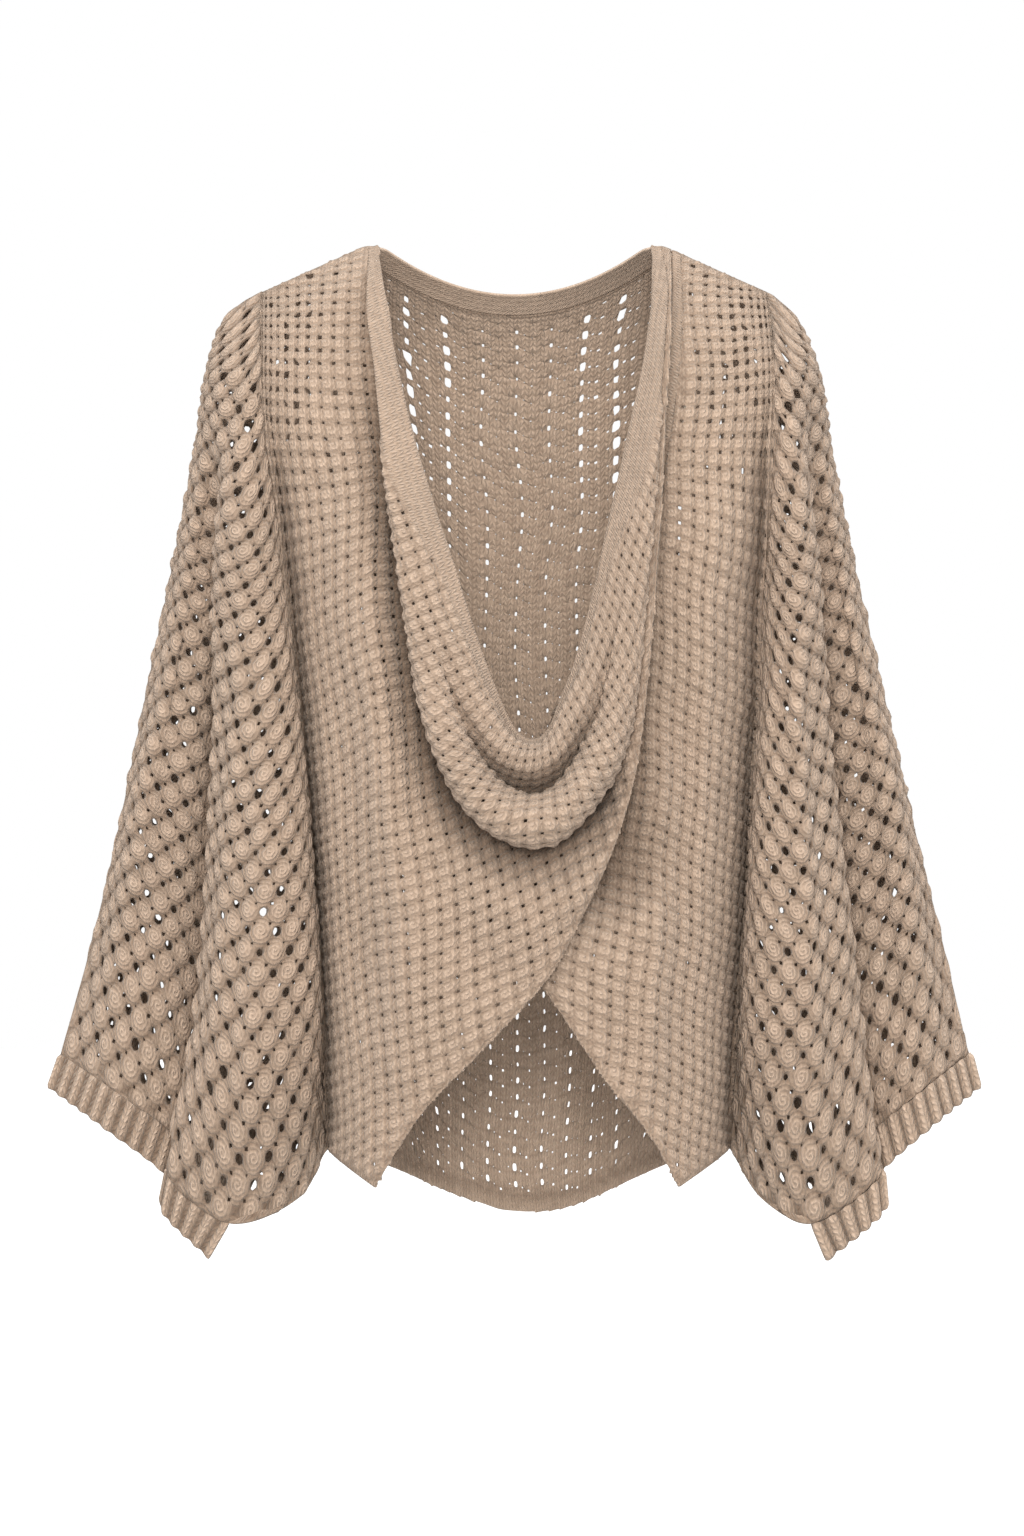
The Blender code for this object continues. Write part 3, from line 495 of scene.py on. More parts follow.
    lip = lip_rows(neck, unit(neck - fold), grid[:, :1, 1], at)
    grid = rounded_peaks(np.concatenate([lip, grid], axis=1))
    on_lip = np.zeros(lip.shape[:2])
    from_neck = np.concatenate([on_lip, from_neck], axis=1)
    from_free = np.concatenate([on_lip + 1, from_free], axis=1)
    shade = np.concatenate([on_lip, shade], axis=1)
    return grid, from_neck, from_free, shade


def band_edge(x):
    """Height of the neckband's lower edge: a parabola that ends on the shoulder line."""
    ends = shoulder_height(np.array(BAND_HALF))
    return ends - (BAND_DROP + ends) * (1 - (x / BAND_HALF) ** 2)


def back_panel(folds):
    """The back as a grid. Rows share the armhole's heights. A row's points keep their shares
    of its half-width, and a column's heights run from the shoulder or neckband to the hem."""
    at = np.arange(UNDERARM_ROW * ROWS_A_STATION + 1) / ROWS_A_STATION
    z_side = column(ARMHOLE, "z", at)
    share_down = ((z_side - z_side[0]) / (z_side[-1] - z_side[0]))[:, None]
    reach = ARMHOLE["right"][0] * MM
    inner = BAND_HALF / reach
    s = np.concatenate(
        [
            np.linspace(-1, -inner, SHOULDER_CELLS + 1),
            np.linspace(-inner, inner, BACK_NECK_CELLS + 1)[1:],
            np.linspace(inner, 1, SHOULDER_CELLS + 1)[1:],
        ]
    )
    right = -armhole_seam(RIGHT, "back", at)[:, :1]
    left = armhole_seam(LEFT, "back", at)[:, :1]
    half = np.where(s[None] < 0, right, left)
    x = half * s[None]
    top_x = s * reach
    top = np.where(np.abs(top_x) < BAND_HALF, band_edge(top_x), shoulder_height(top_x))
    bottom = smooth(x[-1] / MM, BACK_HEM["x"], BACK_HEM["z"]) * MM
    z = top[None] + (bottom - top)[None] * share_down
    sides = fade((1 - np.abs(s)) / 0.15)[None]
    depth = figure_depth(x, z, "back", "back_y") - creases(folds, x, z) * sides
    grid = np.stack([x, depth, z], -1)
    grid[:, 0] = armhole_seam(RIGHT, "back", at)
    grid[:, -1] = armhole_seam(LEFT, "back", at)
    return rounded_peaks(grid)


def neckband():
    """The plain band round the back neck, from its upper edge, a parabola, to its lower one."""
    s = np.linspace(-1, 1, BAND_CELLS[0] + 1)[None]
    down = np.linspace(0, 1, BAND_CELLS[1] + 1)[:, None]
    x = s * (NECK_HALF + (BAND_HALF - NECK_HALF) * down)
    upper = -BACK_NECK_DROP * (1 - s**2)
    z = upper + (band_edge(s * BAND_HALF) - upper) * down
    return rounded_peaks(np.stack([x, figure_depth(x, z, "back", "back_y"), z], -1))


def places_across(spans):
    """Places across the first spans of a sleeve, counted in its lines."""
    return np.linspace(0, spans, spans * SLEEVE_SPAN_CELLS + 1)


def sleeve_half(side, lines, which):
    """Half a sleeve as a grid between seven lines that run down it. Rows share the armhole's
    rows, and each line is smooth along its length and across to the next."""
    at = np.arange(UNDERARM_ROW * ROWS_A_STATION + 1) / ROWS_A_STATION
    seam = armhole_seam(side, which, at)
    down = (seam[:, 2] - seam[0, 2]) / (seam[-1, 2] - seam[0, 2])
    runs = []
    for line in lines:
        z = (line["z"][0] + (line["z"][-1] - line["z"][0]) * down) * MM
        out = by_height(line, named(side), z)
        runs.append(np.stack([side * out, by_height(line, "y", z), z], -1))
    runs.append(seam)
    across = smooth(places_across(SLEEVE_SPANS), np.arange(len(runs)), np.array(runs))
    return np.swapaxes(across, 0, 1)


def hem_line(side, ends):
    """The sleeve's hem at the same places across as the grid above it."""
    points = np.stack([side * ends[named(side)], ends["y"], ends["z"]], -1) * MM
    return smooth(places_across(CUFF_LINE), np.arange(len(points)), points)


def normals_of(grid, outward):
    """Unit normals of a grid, turned so that on the whole they look the outward way."""
    down = np.gradient(grid, axis=0)
    across = np.gradient(grid, axis=1)
    found = unit(np.cross(down, across))
    total = found.reshape(-1, 3).sum(0)
    return found if total @ np.array(outward, float) > 0 else -found


def lengths(points, axis):
    """Length along a grid's lines from their first point, as one array."""
    steps = np.linalg.norm(np.diff(points, axis=axis), axis=-1)
    total = np.cumsum(steps, axis=axis)
    return np.concatenate([np.zeros_like(np.take(total, [0], axis)), total], axis=axis)


# ---------------------------------------------------------------- the knitted net

# Eyelets of each chart, in cells: first corner, size, and the rounded opening's half sizes.
NUB_REPEAT = (5, 5)
NUB_EYELETS = table(
    "i j wide tall half_i half_j",
    (0, 0, 1, 1, 0.62, 0.62),
)
LACE_REPEAT = (10, 12)
LACE_EYELETS = table(
    "i j wide tall half_i half_j",
    (-1, -1, 2, 2, 1.08, 1.28), (4, 5, 2, 2, 1.08, 1.28), (2, 3, 1, 1, 0.55, 0.62),
    (7, 9, 1, 1, 0.55, 0.62), (7, 3, 1, 1, 0.55, 0.62), (2, 9, 1, 1, 0.55, 0.62),
)
BACK_REPEAT = (9, 5)
BACK_EYELETS = table(
    "i j wide tall half_i half_j",
    (0, 0, 1, 3, 0.68, 1.3), (4, 3, 1, 1, 0.5, 0.5), (7, 1, 1, 1, 0.35, 0.35),
    (2, 2, 1, 1, 0.35, 0.35),
)


def nub_relief(i, j):
    """Round nubs between the eyelets: a rounded sine each way, lowest where both are."""
    across, down = (
        np.abs(np.sin(np.pi * (place - 0.5) / cells)) for place, cells in zip((i, j), NUB_REPEAT)
    )
    return (0.3 + 0.7 * across**0.8) * (0.3 + 0.7 * down**0.8)


def lace_relief(i, j):
    """Oval nubs in diamonds: a sine across each diagonal, deeper across the one that the
    rows of eyelets follow."""
    wide, tall = LACE_REPEAT
    rising, falling = (
        np.abs(np.sin(np.pi * (i / wide + sign * j / tall))) for sign in (1, -1)
    )
    return rising**0.8 * (0.35 + 0.65 * falling)


def back_relief(i, j):
    """Low columns of stitches between the columns of eyelets."""
    across = np.abs(np.sin(np.pi * (i - 0.5) / 3))
    down = np.abs(np.sin(np.pi * (j - 0.5) / 2.5))
    return (0.65 + 0.35 * across) * (0.7 + 0.3 * down)


def grid_corners(rows, columns):
    """The four corners of every cell of a grid of points, in turn, as four arrays."""
    index = np.arange(rows * columns).reshape(rows, columns)
    corners = (index[:-1, :-1], index[:-1, 1:], index[1:, 1:], index[1:, :-1])
    return [corner.ravel() for corner in corners]


def nearest_on_rim(spots, rim):
    """The nearest places on a closed line of points, as (index of the run, share along it)."""
    run = np.roll(rim, -1, 0) - rim
    square = np.maximum((run**2).sum(-1), 1e-18)
    index = np.empty(len(spots), int)
    share = np.empty(len(spots))
    for first in range(0, len(spots), AT_ONCE):
        part = slice(first, first + AT_ONCE)
        away = spots[part, None] - rim[None]
        along = np.clip((away * run).sum(-1) / square, 0, 1)
        distance = ((away - run * along[..., None]) ** 2).sum(-1)
        best = distance.argmin(1)
        index[part] = best
        share[part] = along[np.arange(len(best)), best]
    return index, share


def all_round(marked):
    """The marked corners of the net whose eight neighbours are marked too."""
    kept = marked.copy()
    for shift in product((-1, 0, 1), repeat=2):
        kept &= np.roll(marked, shift, (0, 1))
    return kept


def cross(first, second):
    """Twice the area of the triangles between pairs of flat vectors."""
    return first[..., 0] * second[..., 1] - first[..., 1] * second[..., 0]


def net_values(flat, fields, cell):
    """The smooth surface's fields at the corners of a square net in its flat coordinates. A
    corner just outside is moved to the nearest place on the edge. Gives the net's indices,
    the values, and which corners are inside and which are on the edge."""
    rows, columns, count = fields.shape
    a, b, c, d = grid_corners(rows, columns)
    triangles = np.concatenate([np.stack([a, b, c], 1), np.stack([a, c, d], 1)])
    places = flat.reshape(-1, 2)
    plane = np.concatenate([places, np.zeros((len(places), 1))], 1)
    tree = BVHTree.FromPolygons(plane.tolist(), triangles.tolist(), all_triangles=True)
    low = np.floor(places.min(0) / cell).astype(int) - 2
    high = np.ceil(places.max(0) / cell).astype(int) + 3
    i, j = np.meshgrid(np.arange(low[0], high[0]), np.arange(low[1], high[1]), indexing="ij")
    spots = np.stack([i, j], -1).reshape(-1, 2) * cell
    hits = np.full(len(spots), -1)
    down = Vector((0, 0, -1))
    for place, (x, y) in enumerate(spots.tolist()):
        index = tree.ray_cast(Vector((x, y, 1)), down)[2]
        if index is not None:
            hits[place] = index
    table_of = fields.reshape(-1, count)
    values = np.zeros((len(spots), count))
    inside = hits >= 0
    corners = triangles[hits[inside]]
    p, q, r = (places[corners[:, k]] for k in range(3))
    spot = spots[inside]
    whole = cross(q - p, r - p)
    second = cross(spot - p, r - p) / whole
    third = cross(q - p, spot - p) / whole
    shares = np.stack([1 - second - third, second, third], 1)
    values[inside] = (table_of[corners] * shares[..., None]).sum(1)

    inside = inside.reshape(i.shape)
    edge = ~all_round(~inside) & ~inside
    ring = np.concatenate(
        [
            np.arange(columns),
            np.arange(1, rows) * columns + columns - 1,
            (rows - 1) * columns + np.arange(columns - 2, -1, -1),
            np.arange(rows - 2, 0, -1) * columns,
        ]
    )
    near = edge.ravel()
    index, share = nearest_on_rim(spots[near], places[ring])
    start, end = table_of[ring[index]], table_of[np.roll(ring, -1)[index]]
    values[near] = start + (end - start) * share[:, None]
    moved = spots.copy()
    rim_start, rim_end = places[ring[index]], places[np.roll(ring, -1)[index]]
    moved[near] = rim_start + (rim_end - rim_start) * share[:, None]
    return i, j, values.reshape(i.shape + (count,)), inside, edge, moved.reshape(i.shape + (2,))


def turned_out(faces, spots, facing):
    """The faces, turned so that they look the way the points' normals do."""
    corners = spots[faces]
    turn = np.cross(corners[:, 2] - corners[:, 0], corners[:, 3] - corners[:, 1])
    return faces[:, ::-1] if (turn * facing[faces[:, 0]]).sum() < 0 else faces


def set_values(made, label, values):
    """Writes a number on each point of a mesh, for the materials to read."""
    layer = made.data.attributes.new(label, "FLOAT", "POINT")
    layer.data.foreach_set("value", values)


def cut_eyelets(i, j, spots, free, eyelets, repeat, uneven, widening):
    """Which cells of the net are left open, and how far each corner beside them is drawn:
    onto an oval round the eyelet's middle, wider or narrower by chance and by place."""
    away_i = (np.roll(spots, -1, 0) - np.roll(spots, 1, 0)) / 2
    away_j = (np.roll(spots, -1, 1) - np.roll(spots, 1, 1)) / 2
    left_out = np.zeros(i.shape, bool)
    drawn = np.zeros_like(spots)
    for corner_i, corner_j, wide, tall, half_i, half_j in zip(*eyelets.values()):
        wide, tall = int(wide), int(tall)
        first = ((i - corner_i) % repeat[0] == 0) & ((j - corner_j) % repeat[1] == 0)
        for di, dj in product(range(wide + 1), range(tall + 1)):
            first &= np.roll(free, (-di, -dj), (0, 1))
        for shift in product(range(wide), range(tall)):
            left_out |= np.roll(first, shift, (0, 1))
        for di, dj in product(range(wide + 1), range(tall + 1)):
            if 0 < di < wide and 0 < dj < tall:
                continue
            x, y = di - wide / 2, dj - tall / 2
            here = np.roll(first, (di, dj), (0, 1))
            stretch = np.roll(uneven, (di, dj), (0, 1)) * widening
            scale = stretch / np.hypot(x / half_i, y / half_j) - 1
            step = (away_i * x + away_j * y) * scale[..., None]
            drawn[here] = step[here]
    return left_out, drawn


def knit(name, points, outward, flat, chart, fields, seed):
    """A piece of openwork knit as a mesh of one net cell a face. Eyelets are cells left out,
    their corners drawn onto an oval. Nubs are raised along the surface's normals. The chart
    is the cell's size, the eyelets, the cells after which they repeat, the nubs' relief and
    their height. The fields say how plain the knit is, how wide its eyelets open and how far
    painted shade darkens its colour in the folds. The relief is also written for the colour,
    as painted shade in the pits and painted light on the nubs and plain bands."""
    cell, eyelets, repeat, relief, height = chart
    normals = normals_of(points, outward)
    extra = [np.broadcast_to(field, points.shape[:2])[..., None] for field in fields]
    fields = np.concatenate([points, normals] + extra, -1)
    i, j, values, inside, edge, moved = net_values(flat, fields, cell)
    spots, facing = values[..., :3], unit(values[..., 3:6])
    smoothness, widening = values[..., 6], values[..., 7]
    rng = np.random.default_rng(seed)
    uneven = rng.uniform(*UNEVEN, i.shape)
    wider = OPEN_WIDER * rng.random(i.shape) ** 2
    widening = 1 + (widening - 1) * np.where(widening > 1, wider, 1)

    inner = all_round(inside)
    soft = inside / 2 + inner / 2
    free = all_round(inner) & (smoothness < 0.5)
    left_out, drawn = cut_eyelets(i, j, spots, free, eyelets, repeat, uneven, widening)

    bump = relief(i, j) * soft * (1 - fade(smoothness))
    strength = uneven[::UNEVEN_CELLS, ::UNEVEN_CELLS]
    strength = strength.repeat(UNEVEN_CELLS, 0).repeat(UNEVEN_CELLS, 1)
    raised = bump * height * strength[: i.shape[0], : i.shape[1]]
    spots = spots + drawn + facing * (raised - SKIN * soft)[..., None]

    solid = inside | edge
    cells = solid[:-1, :-1] & solid[1:, :-1] & solid[:-1, 1:] & solid[1:, 1:]
    cells &= inside[:-1, :-1] | inside[1:, :-1] | inside[:-1, 1:] | inside[1:, 1:]
    cells &= ~left_out[:-1, :-1]
    area = cross(moved[1:, 1:] - moved[:-1, :-1], moved[:-1, 1:] - moved[1:, :-1]) / 2
    cells &= area > LEAST_CELL * cell**2
    index = np.arange(i.size).reshape(i.shape)
    quads = np.stack([index[:-1, :-1], index[1:, :-1], index[1:, 1:], index[:-1, 1:]], -1)[cells]
    used, quads = np.unique(quads, return_inverse=True)
    quads = quads.reshape(-1, 4)
    coordinates = spots.reshape(-1, 3)[used]
    quads = turned_out(quads, coordinates, facing.reshape(-1, 3)[used])
    made = mesh_object(name, coordinates, quads, moved.reshape(-1, 2)[used])
    # painted shade and light: the colour is darker where the relief is low, in the pits, and
    # paler on the nubs and the plain bands
    tone = np.maximum(bump, np.maximum(0.75 * fade(smoothness), 0.5 * (1 - soft)))
    for label, field in (("relief", tone), ("plain", smoothness), ("shade", values[..., 8])):
        set_values(made, label, field.ravel()[used])
    return made


def mesh_object(name, coordinates, faces, flat):
    """A smooth-shaded mesh object with its knit coordinates as its UV map."""
    mesh = bpy.data.meshes.new(name)
    mesh.from_pydata(coordinates.tolist(), [], faces.tolist())
    layer = mesh.uv_layers.new(name="knit")
    loops = np.empty(len(mesh.loops), int)
    mesh.loops.foreach_get("vertex_index", loops)
    layer.data.foreach_set("uv", flat[loops].ravel())
    mesh.shade_smooth()
    made = bpy.data.objects.new(name, mesh)
    bpy.context.scene.collection.objects.link(made)
    return made


def joined(name, first, *others):
    """One object of several meshes, under a new name."""
    for item in bpy.context.view_layer.objects:
        item.select_set(False)
    for item in (first, *others):
        item.select_set(True)
    bpy.context.view_layer.objects.active = first
    bpy.ops.object.join()
    first.name = name
    first.data.name = name
    return first


def finish_piece(made, node, material, slot, flat, area):
    """Gives a piece its thickness and material, hangs it from the root body and hides the solid
    part it stands for.
    """
    wall = made.modifiers.new("thickness", "SOLIDIFY")
    wall.thickness = CLOTH
    wall.offset = -1
    made.data.materials.clear()
    made.data.materials.append(material)
    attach(made, "root")
    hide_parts(node)


# ---------------------------------------------------------------- materials


def maths(operation, *values):
    """The result of one arithmetic step on numbers and sockets, in the sockets' own tree."""
    tree = next(value for value in values if not isinstance(value, (int, float))).id_data
    node = tree.nodes.new("ShaderNodeMath")
    node.operation = operation
    for socket, value in zip(node.inputs, values):
        if isinstance(value, (int, float)):
            socket.default_value = value
        else:
            tree.links.new(value, socket)
    return node.outputs[0]


def mixed(share, dark, light):
    """A colour between two others."""
    tree = share.id_data
    node = tree.nodes.new("ShaderNodeMix")
    node.data_type = "RGBA"
    tree.links.new(share, node.inputs["Factor"])
    for name, value in (("A", dark), ("B", light)):
        socket = [s for s in node.inputs if s.name == name and s.type == "RGBA"][0]
        if isinstance(value, tuple):
            socket.default_value = value
        else:
            tree.links.new(value, socket)
    return [s for s in node.outputs if s.type == "RGBA"][0]


def noise(vector, scale, detail):
    """Computed noise from 0 to 1."""
    tree = vector.id_data
    node = tree.nodes.new("ShaderNodeTexNoise")
    node.inputs["Scale"].default_value = scale
    node.inputs["Detail"].default_value = detail
    tree.links.new(vector, node.inputs["Vector"])
    return node.outputs["Fac"]


def attribute(tree, name):
    """A number that the mesh has on each point."""
    node = tree.nodes.new("ShaderNodeAttribute")
    node.attribute_name = name
    return node.outputs["Fac"]


def new_group(name, inputs, outputs):
    """An empty group with a number for each socket named, or a colour where it's Colour."""
    tree = bpy.data.node_groups.new(name, "ShaderNodeTree")
    for kind, names in (("INPUT", inputs), ("OUTPUT", outputs)):
        for label in names.split():
            socket = "NodeSocketColor" if label == "Colour" else "NodeSocketFloat"
            tree.interface.new_socket(label, in_out=kind, socket_type=socket)
    return tree, tree.nodes.new("NodeGroupInput"), tree.nodes.new("NodeGroupOutput")


def stitch_group():
    """Columns of V stitches. Each leg is a bell across half a column, and the loops above one
    another are a cosine along it, slanted away from the column's middle."""
    tree, given, result = new_group("stitches", "U V Wide Tall", "Height")
    across = maths("DIVIDE", given.outputs["U"], given.outputs["Wide"])
    from_middle = maths("PINGPONG", across, 0.5)
    leg = maths("SINE", maths("MULTIPLY", from_middle, 2 * np.pi))
    slant = maths("MULTIPLY", from_middle, 1.5)
    down = maths("DIVIDE", given.outputs["V"], given.outputs["Tall"])
    down = maths("ADD", down, slant)
    loop = maths("COSINE", maths("MULTIPLY", down, 2 * np.pi))
    loop = maths("MULTIPLY_ADD", loop, 0.35, 0.65)
    leg = maths("POWER", maths("MAXIMUM", leg, 0.0), 0.6)
    tree.links.new(maths("MULTIPLY", leg, loop), result.inputs["Height"])


def yarn_group():
    """Colour and relief of soft wool yarn: darker between the stitches, in the pits and in the
    folds as painted shade, paler on the nubs as painted light, with slow changes of tone and
    fine fibres."""
    tree, given, result = new_group("yarn", "Stitch Relief Shade", "Colour Height")
    where = tree.nodes.new("ShaderNodeTexCoord").outputs["Object"]
    slow = noise(where, 14.0, 2.0)
    patchy = noise(where, 160.0, 2.0)
    fibre = noise(where, 1900.0, 3.0)
    # painted shade in the pits and painted light on the nubs, from the relief
    nub = maths("MULTIPLY_ADD", given.outputs["Relief"], 0.9, 0.1)
    # painted shade between the strands of yarn
    strand = maths("MULTIPLY_ADD", given.outputs["Stitch"], 0.5, 0.5)
    share = maths("MULTIPLY", nub, strand)
    share = maths("MULTIPLY_ADD", maths("SUBTRACT", patchy, 0.5), 0.5, share)
    share = maths("MINIMUM", maths("MAXIMUM", share, 0.0), 1.0)
    body = mixed(share, YARN_DARK, YARN_LIGHT)
    final = mixed(maths("MULTIPLY", slow, 0.3), body, YARN_WARM)
    # painted shade in the folds
    fold_shade = maths("MULTIPLY", given.outputs["Shade"], SHADED_SHARE)
    final = mixed(fold_shade, final, YARN_SHADED)
    tree.links.new(final, result.inputs["Colour"])
    height = maths("MULTIPLY_ADD", fibre, 0.3, given.outputs["Stitch"])
    tree.links.new(height, result.inputs["Height"])


# The first two colours are painted shade in the pits and between the strands and painted light
# on the nubs, mixed also by the yarn's own patchy tone; the warm one is its slow change of tone
YARN_DARK = (0.10, 0.06, 0.035, 1)
YARN_LIGHT = (0.62, 0.465, 0.35, 1)
YARN_WARM = (0.46, 0.315, 0.225, 1)
# painted shade: the colour of the bottom of a fold
YARN_SHADED = (0.07, 0.035, 0.015, 1)
SHADED_SHARE = 0.68  # how far painted shade takes the yarn towards that colour at the bottom of a fold


def yarn_material(name, pattern):
    """Wool in one of the stitch patterns, on the piece's own knit coordinates."""
    made = bpy.data.materials.new(name)
    made.use_nodes = True
    tree = made.node_tree
    shader = tree.nodes["Principled BSDF"]
    shader.inputs["Roughness"].default_value = 0.95
    shader.inputs["Specular IOR Level"].default_value = 0.2
    shader.inputs["Sheen Weight"].default_value = 0.35
    shader.inputs["Sheen Roughness"].default_value = 0.6
    shader.inputs["Sheen Tint"].default_value = (0.9, 0.8, 0.7, 1)
    coordinates = tree.nodes.new("ShaderNodeUVMap")
    coordinates.uv_map = "knit"
    parts = tree.nodes.new("ShaderNodeSeparateXYZ")
    tree.links.new(coordinates.outputs["UV"], parts.inputs["Vector"])
    where = tree.nodes.new("ShaderNodeTexCoord").outputs["Object"]
    u, v = (
        maths("MULTIPLY_ADD", noise(where, scale, 1.0), WANDER, parts.outputs[axis])
        for axis, scale in (("X", 330.0), ("Y", 290.0))
    )
    stitch = pattern(u, v, attribute(tree, "plain"))
    yarn = tree.nodes.new("ShaderNodeGroup")
    yarn.node_tree = bpy.data.node_groups["yarn"]
    tree.links.new(stitch, yarn.inputs["Stitch"])
    # the relief and shade attributes bring painted shade and painted light into the yarn's
    # colour
    tree.links.new(attribute(tree, "relief"), yarn.inputs["Relief"])
    tree.links.new(attribute(tree, "shade"), yarn.inputs["Shade"])
    tree.links.new(yarn.outputs["Colour"], shader.inputs["Base Color"])
    raised = tree.nodes.new("ShaderNodeBump")
    raised.inputs["Strength"].default_value = 1.0
    raised.inputs["Distance"].default_value = STRAND_BUMP
    tree.links.new(yarn.outputs["Height"], raised.inputs["Height"])
    tree.links.new(raised.outputs["Normal"], shader.inputs["Normal"])
    return made


def stitches(u, v, wide, tall):
    """V stitches of one size, as a height from 0 to 1."""
    tree = u.id_data
    node = tree.nodes.new("ShaderNodeGroup")
    node.node_tree = bpy.data.node_groups["stitches"]
    tree.links.new(u, node.inputs["U"])
    tree.links.new(v, node.inputs["V"])
    node.inputs["Wide"].default_value = wide
    node.inputs["Tall"].default_value = tall
    return node.outputs["Height"]


def blended(share, first, second):
    """A number between two others."""
    step = maths("SUBTRACT", second, first)
    return maths("MULTIPLY_ADD", step, share, first)


def spiral(x, y, turns):
    """Yarn wound outwards round the point where x and y are 0."""
    square = maths("MULTIPLY_ADD", x, x, maths("MULTIPLY", y, y))
    radius = maths("SQRT", square)
    turn = maths("MULTIPLY_ADD", radius, 2 * np.pi * turns, maths("ARCTAN2", y, x))
    return maths("MULTIPLY_ADD", maths("COSINE", turn), 0.5, 0.5)


def in_repeat(count):
    """Where a place lies within its own repeat, from -0.5 to 0.5."""
    return maths("SUBTRACT", maths("FRACT", count), 0.5)


def nub_pattern(u, v, band):
    """Yarn wound round each nub as a spiral, and plain stitches along the edge bands."""
    pitch = NUB_REPEAT[0] * NUB_CELL
    x, y = (
        in_repeat(maths("DIVIDE", maths("SUBTRACT", place, NUB_CELL / 2), pitch))
        for place in (u, v)
    )
    loops = stitches(u, v, pitch / 2, pitch / 3)
    wound = blended(0.5, spiral(x, y, 3), loops)
    return blended(band, wound, stitches(u, v, *PLAIN_STITCH))


def lace_pattern(u, v, band):
    """Yarn wound round each oval nub of the diamond lattice, mixed with slanting loops."""
    wide, tall = (cells * LACE_CELL for cells in LACE_REPEAT)
    across, down = maths("DIVIDE", u, wide), maths("DIVIDE", v, tall)
    rising = in_repeat(maths("ADD", across, down))
    falling = in_repeat(maths("SUBTRACT", across, down))
    x = maths("MULTIPLY", maths("ADD", rising, falling), 0.5)
    y = maths("MULTIPLY", maths("SUBTRACT", rising, falling), 0.6)
    loops = stitches(u, v, 2.5 * LACE_CELL, 4.2 * MM)
    return blended(0.4, spiral(x, y, 8), loops)


def back_pattern(u, v, band):
    """Shallow plain stitches."""
    return maths("MULTIPLY_ADD", stitches(u, v, *BACK_STITCH), 0.65, 0.35)


def rib_pattern(u, v, band):
    """Two columns of plain stitches to a rib."""
    return stitches(u, v, RIB_WIDE / 2, 4.6 * MM)


# ---------------------------------------------------------------- soft folds

# Where each fold starts and ends seen from the front, how wide it is and how deep, in mm.
OVER_FOLDS = table(
    "top_x top_z low_x low_z width depth",
    (-116, -288, -92, -520, 13, 7), (-98, -170, -80, -420, 13, -5),
    (-80, -300, -54, -440, 12, 7), (-66, -430, -84, -560, 14, -4), (18, -431, 58, -405, 9, 6),
    (54, -408, 78, -366, 8, 5), (20, -455, 68, -418, 11, -5), (-134, -150, -126, -330, 10, 5),
    (-50, -415, -14, -505, 16, 6), (-110, -450, -84, -600, 14, 5),
    (-125, -70, -118, -190, 14, 4), (-10, -440, 16, -478, 12, -4),
)
UNDER_FOLDS = table(
    "top_x top_z low_x low_z width depth",
    (146, -250, 134, -540, 12, 6), (132, -180, 124, -430, 13, -5),
    (116, -300, 106, -590, 13, 7), (96, -350, 88, -560, 13, -5), (100, -400, 58, -475, 14, 6),
    (84, -470, 70, -560, 12, 5), (136, -70, 126, -180, 14, 4),
)
BACK_FOLDS = table(
    "top_x top_z low_x low_z width depth",
    (-124, -110, -66, -330, 16, 8), (-112, -290, -90, -600, 14, 8),
    (120, -100, 82, -300, 15, 8), (126, -310, 100, -600, 15, 8),
    (-28, -300, -46, -640, 18, 8), (40, -340, 28, -630, 17, 8), (4, -260, -8, -580, 18, -5),
    (72, -380, 64, -620, 15, -6), (-78, -400, -68, -620, 14, -6),
)
SLEEVE_FRONT_FOLDS = table(
    "top_x top_z low_x low_z width depth",
    (186, -70, 236, -330, 9, 5), (222, -260, 262, -540, 10, 6), (250, -330, 286, -540, 9, -4),
    (198, -280, 216, -560, 8, 5), (176, -260, 190, -600, 8, 4), (206, -90, 240, -250, 9, -3),
)
SLEEVE_BACK_FOLDS = table(
    "top_x top_z low_x low_z width depth",
    (190, -80, 232, -300, 12, 6), (226, -280, 258, -560, 12, 8),
    (200, -200, 212, -580, 12, -5), (176, -240, 190, -600, 11, 7),
    (250, -300, 282, -540, 12, -4),
)


def mirrored(rows, shift):
    """The same folds on the other side, moved a little."""
    other = dict(rows)
    other["top_x"], other["low_x"] = -rows["top_x"] + shift, -rows["low_x"] - shift
    other["top_z"] = rows["top_z"] - 2 * shift
    return other


# ---------------------------------------------------------------- flat coordinates


def across_figure(x, z, which, side):
    """Distance across the figure from its middle, taken on the level section 300 mm down and
    scaled to the reach at each height."""
    name = named(side)
    middle = np.array(-0.3)
    shares = np.linspace(-1.1, 1.1, 441)  # as far as just past the armhole seams
    edge = np.abs(by_height(ARMHOLE, which + "_y", middle))
    full = smooth(np.array(300.0), FIGURE["fall"], FIGURE[which]) * MM
    depth = edge + (full - edge) * np.sqrt(np.maximum(1 - np.abs(shares) ** 3, 0))
    half = by_height(ARMHOLE, name, middle)
    arc = np.concatenate([[0], np.cumsum(np.hypot(np.diff(shares) * half, np.diff(depth)))])
    return np.interp(x / by_height(ARMHOLE, name, z), shares, arc - arc[len(arc) // 2])


def down_figure(x, z, which):
    """Distance down the figure from the shoulder line."""
    steps = np.hypot(np.diff(FIGURE["fall"]), np.diff(FIGURE[which])) * MM
    run = np.concatenate([[0], np.cumsum(steps)])
    return np.interp(shoulder_height(x) - z, FIGURE["fall"] * MM, run)


def softened(run, corner):
    """0 before 0 and the run itself after it, joined by a softened corner."""
    return corner * np.logaddexp(0, run / corner)


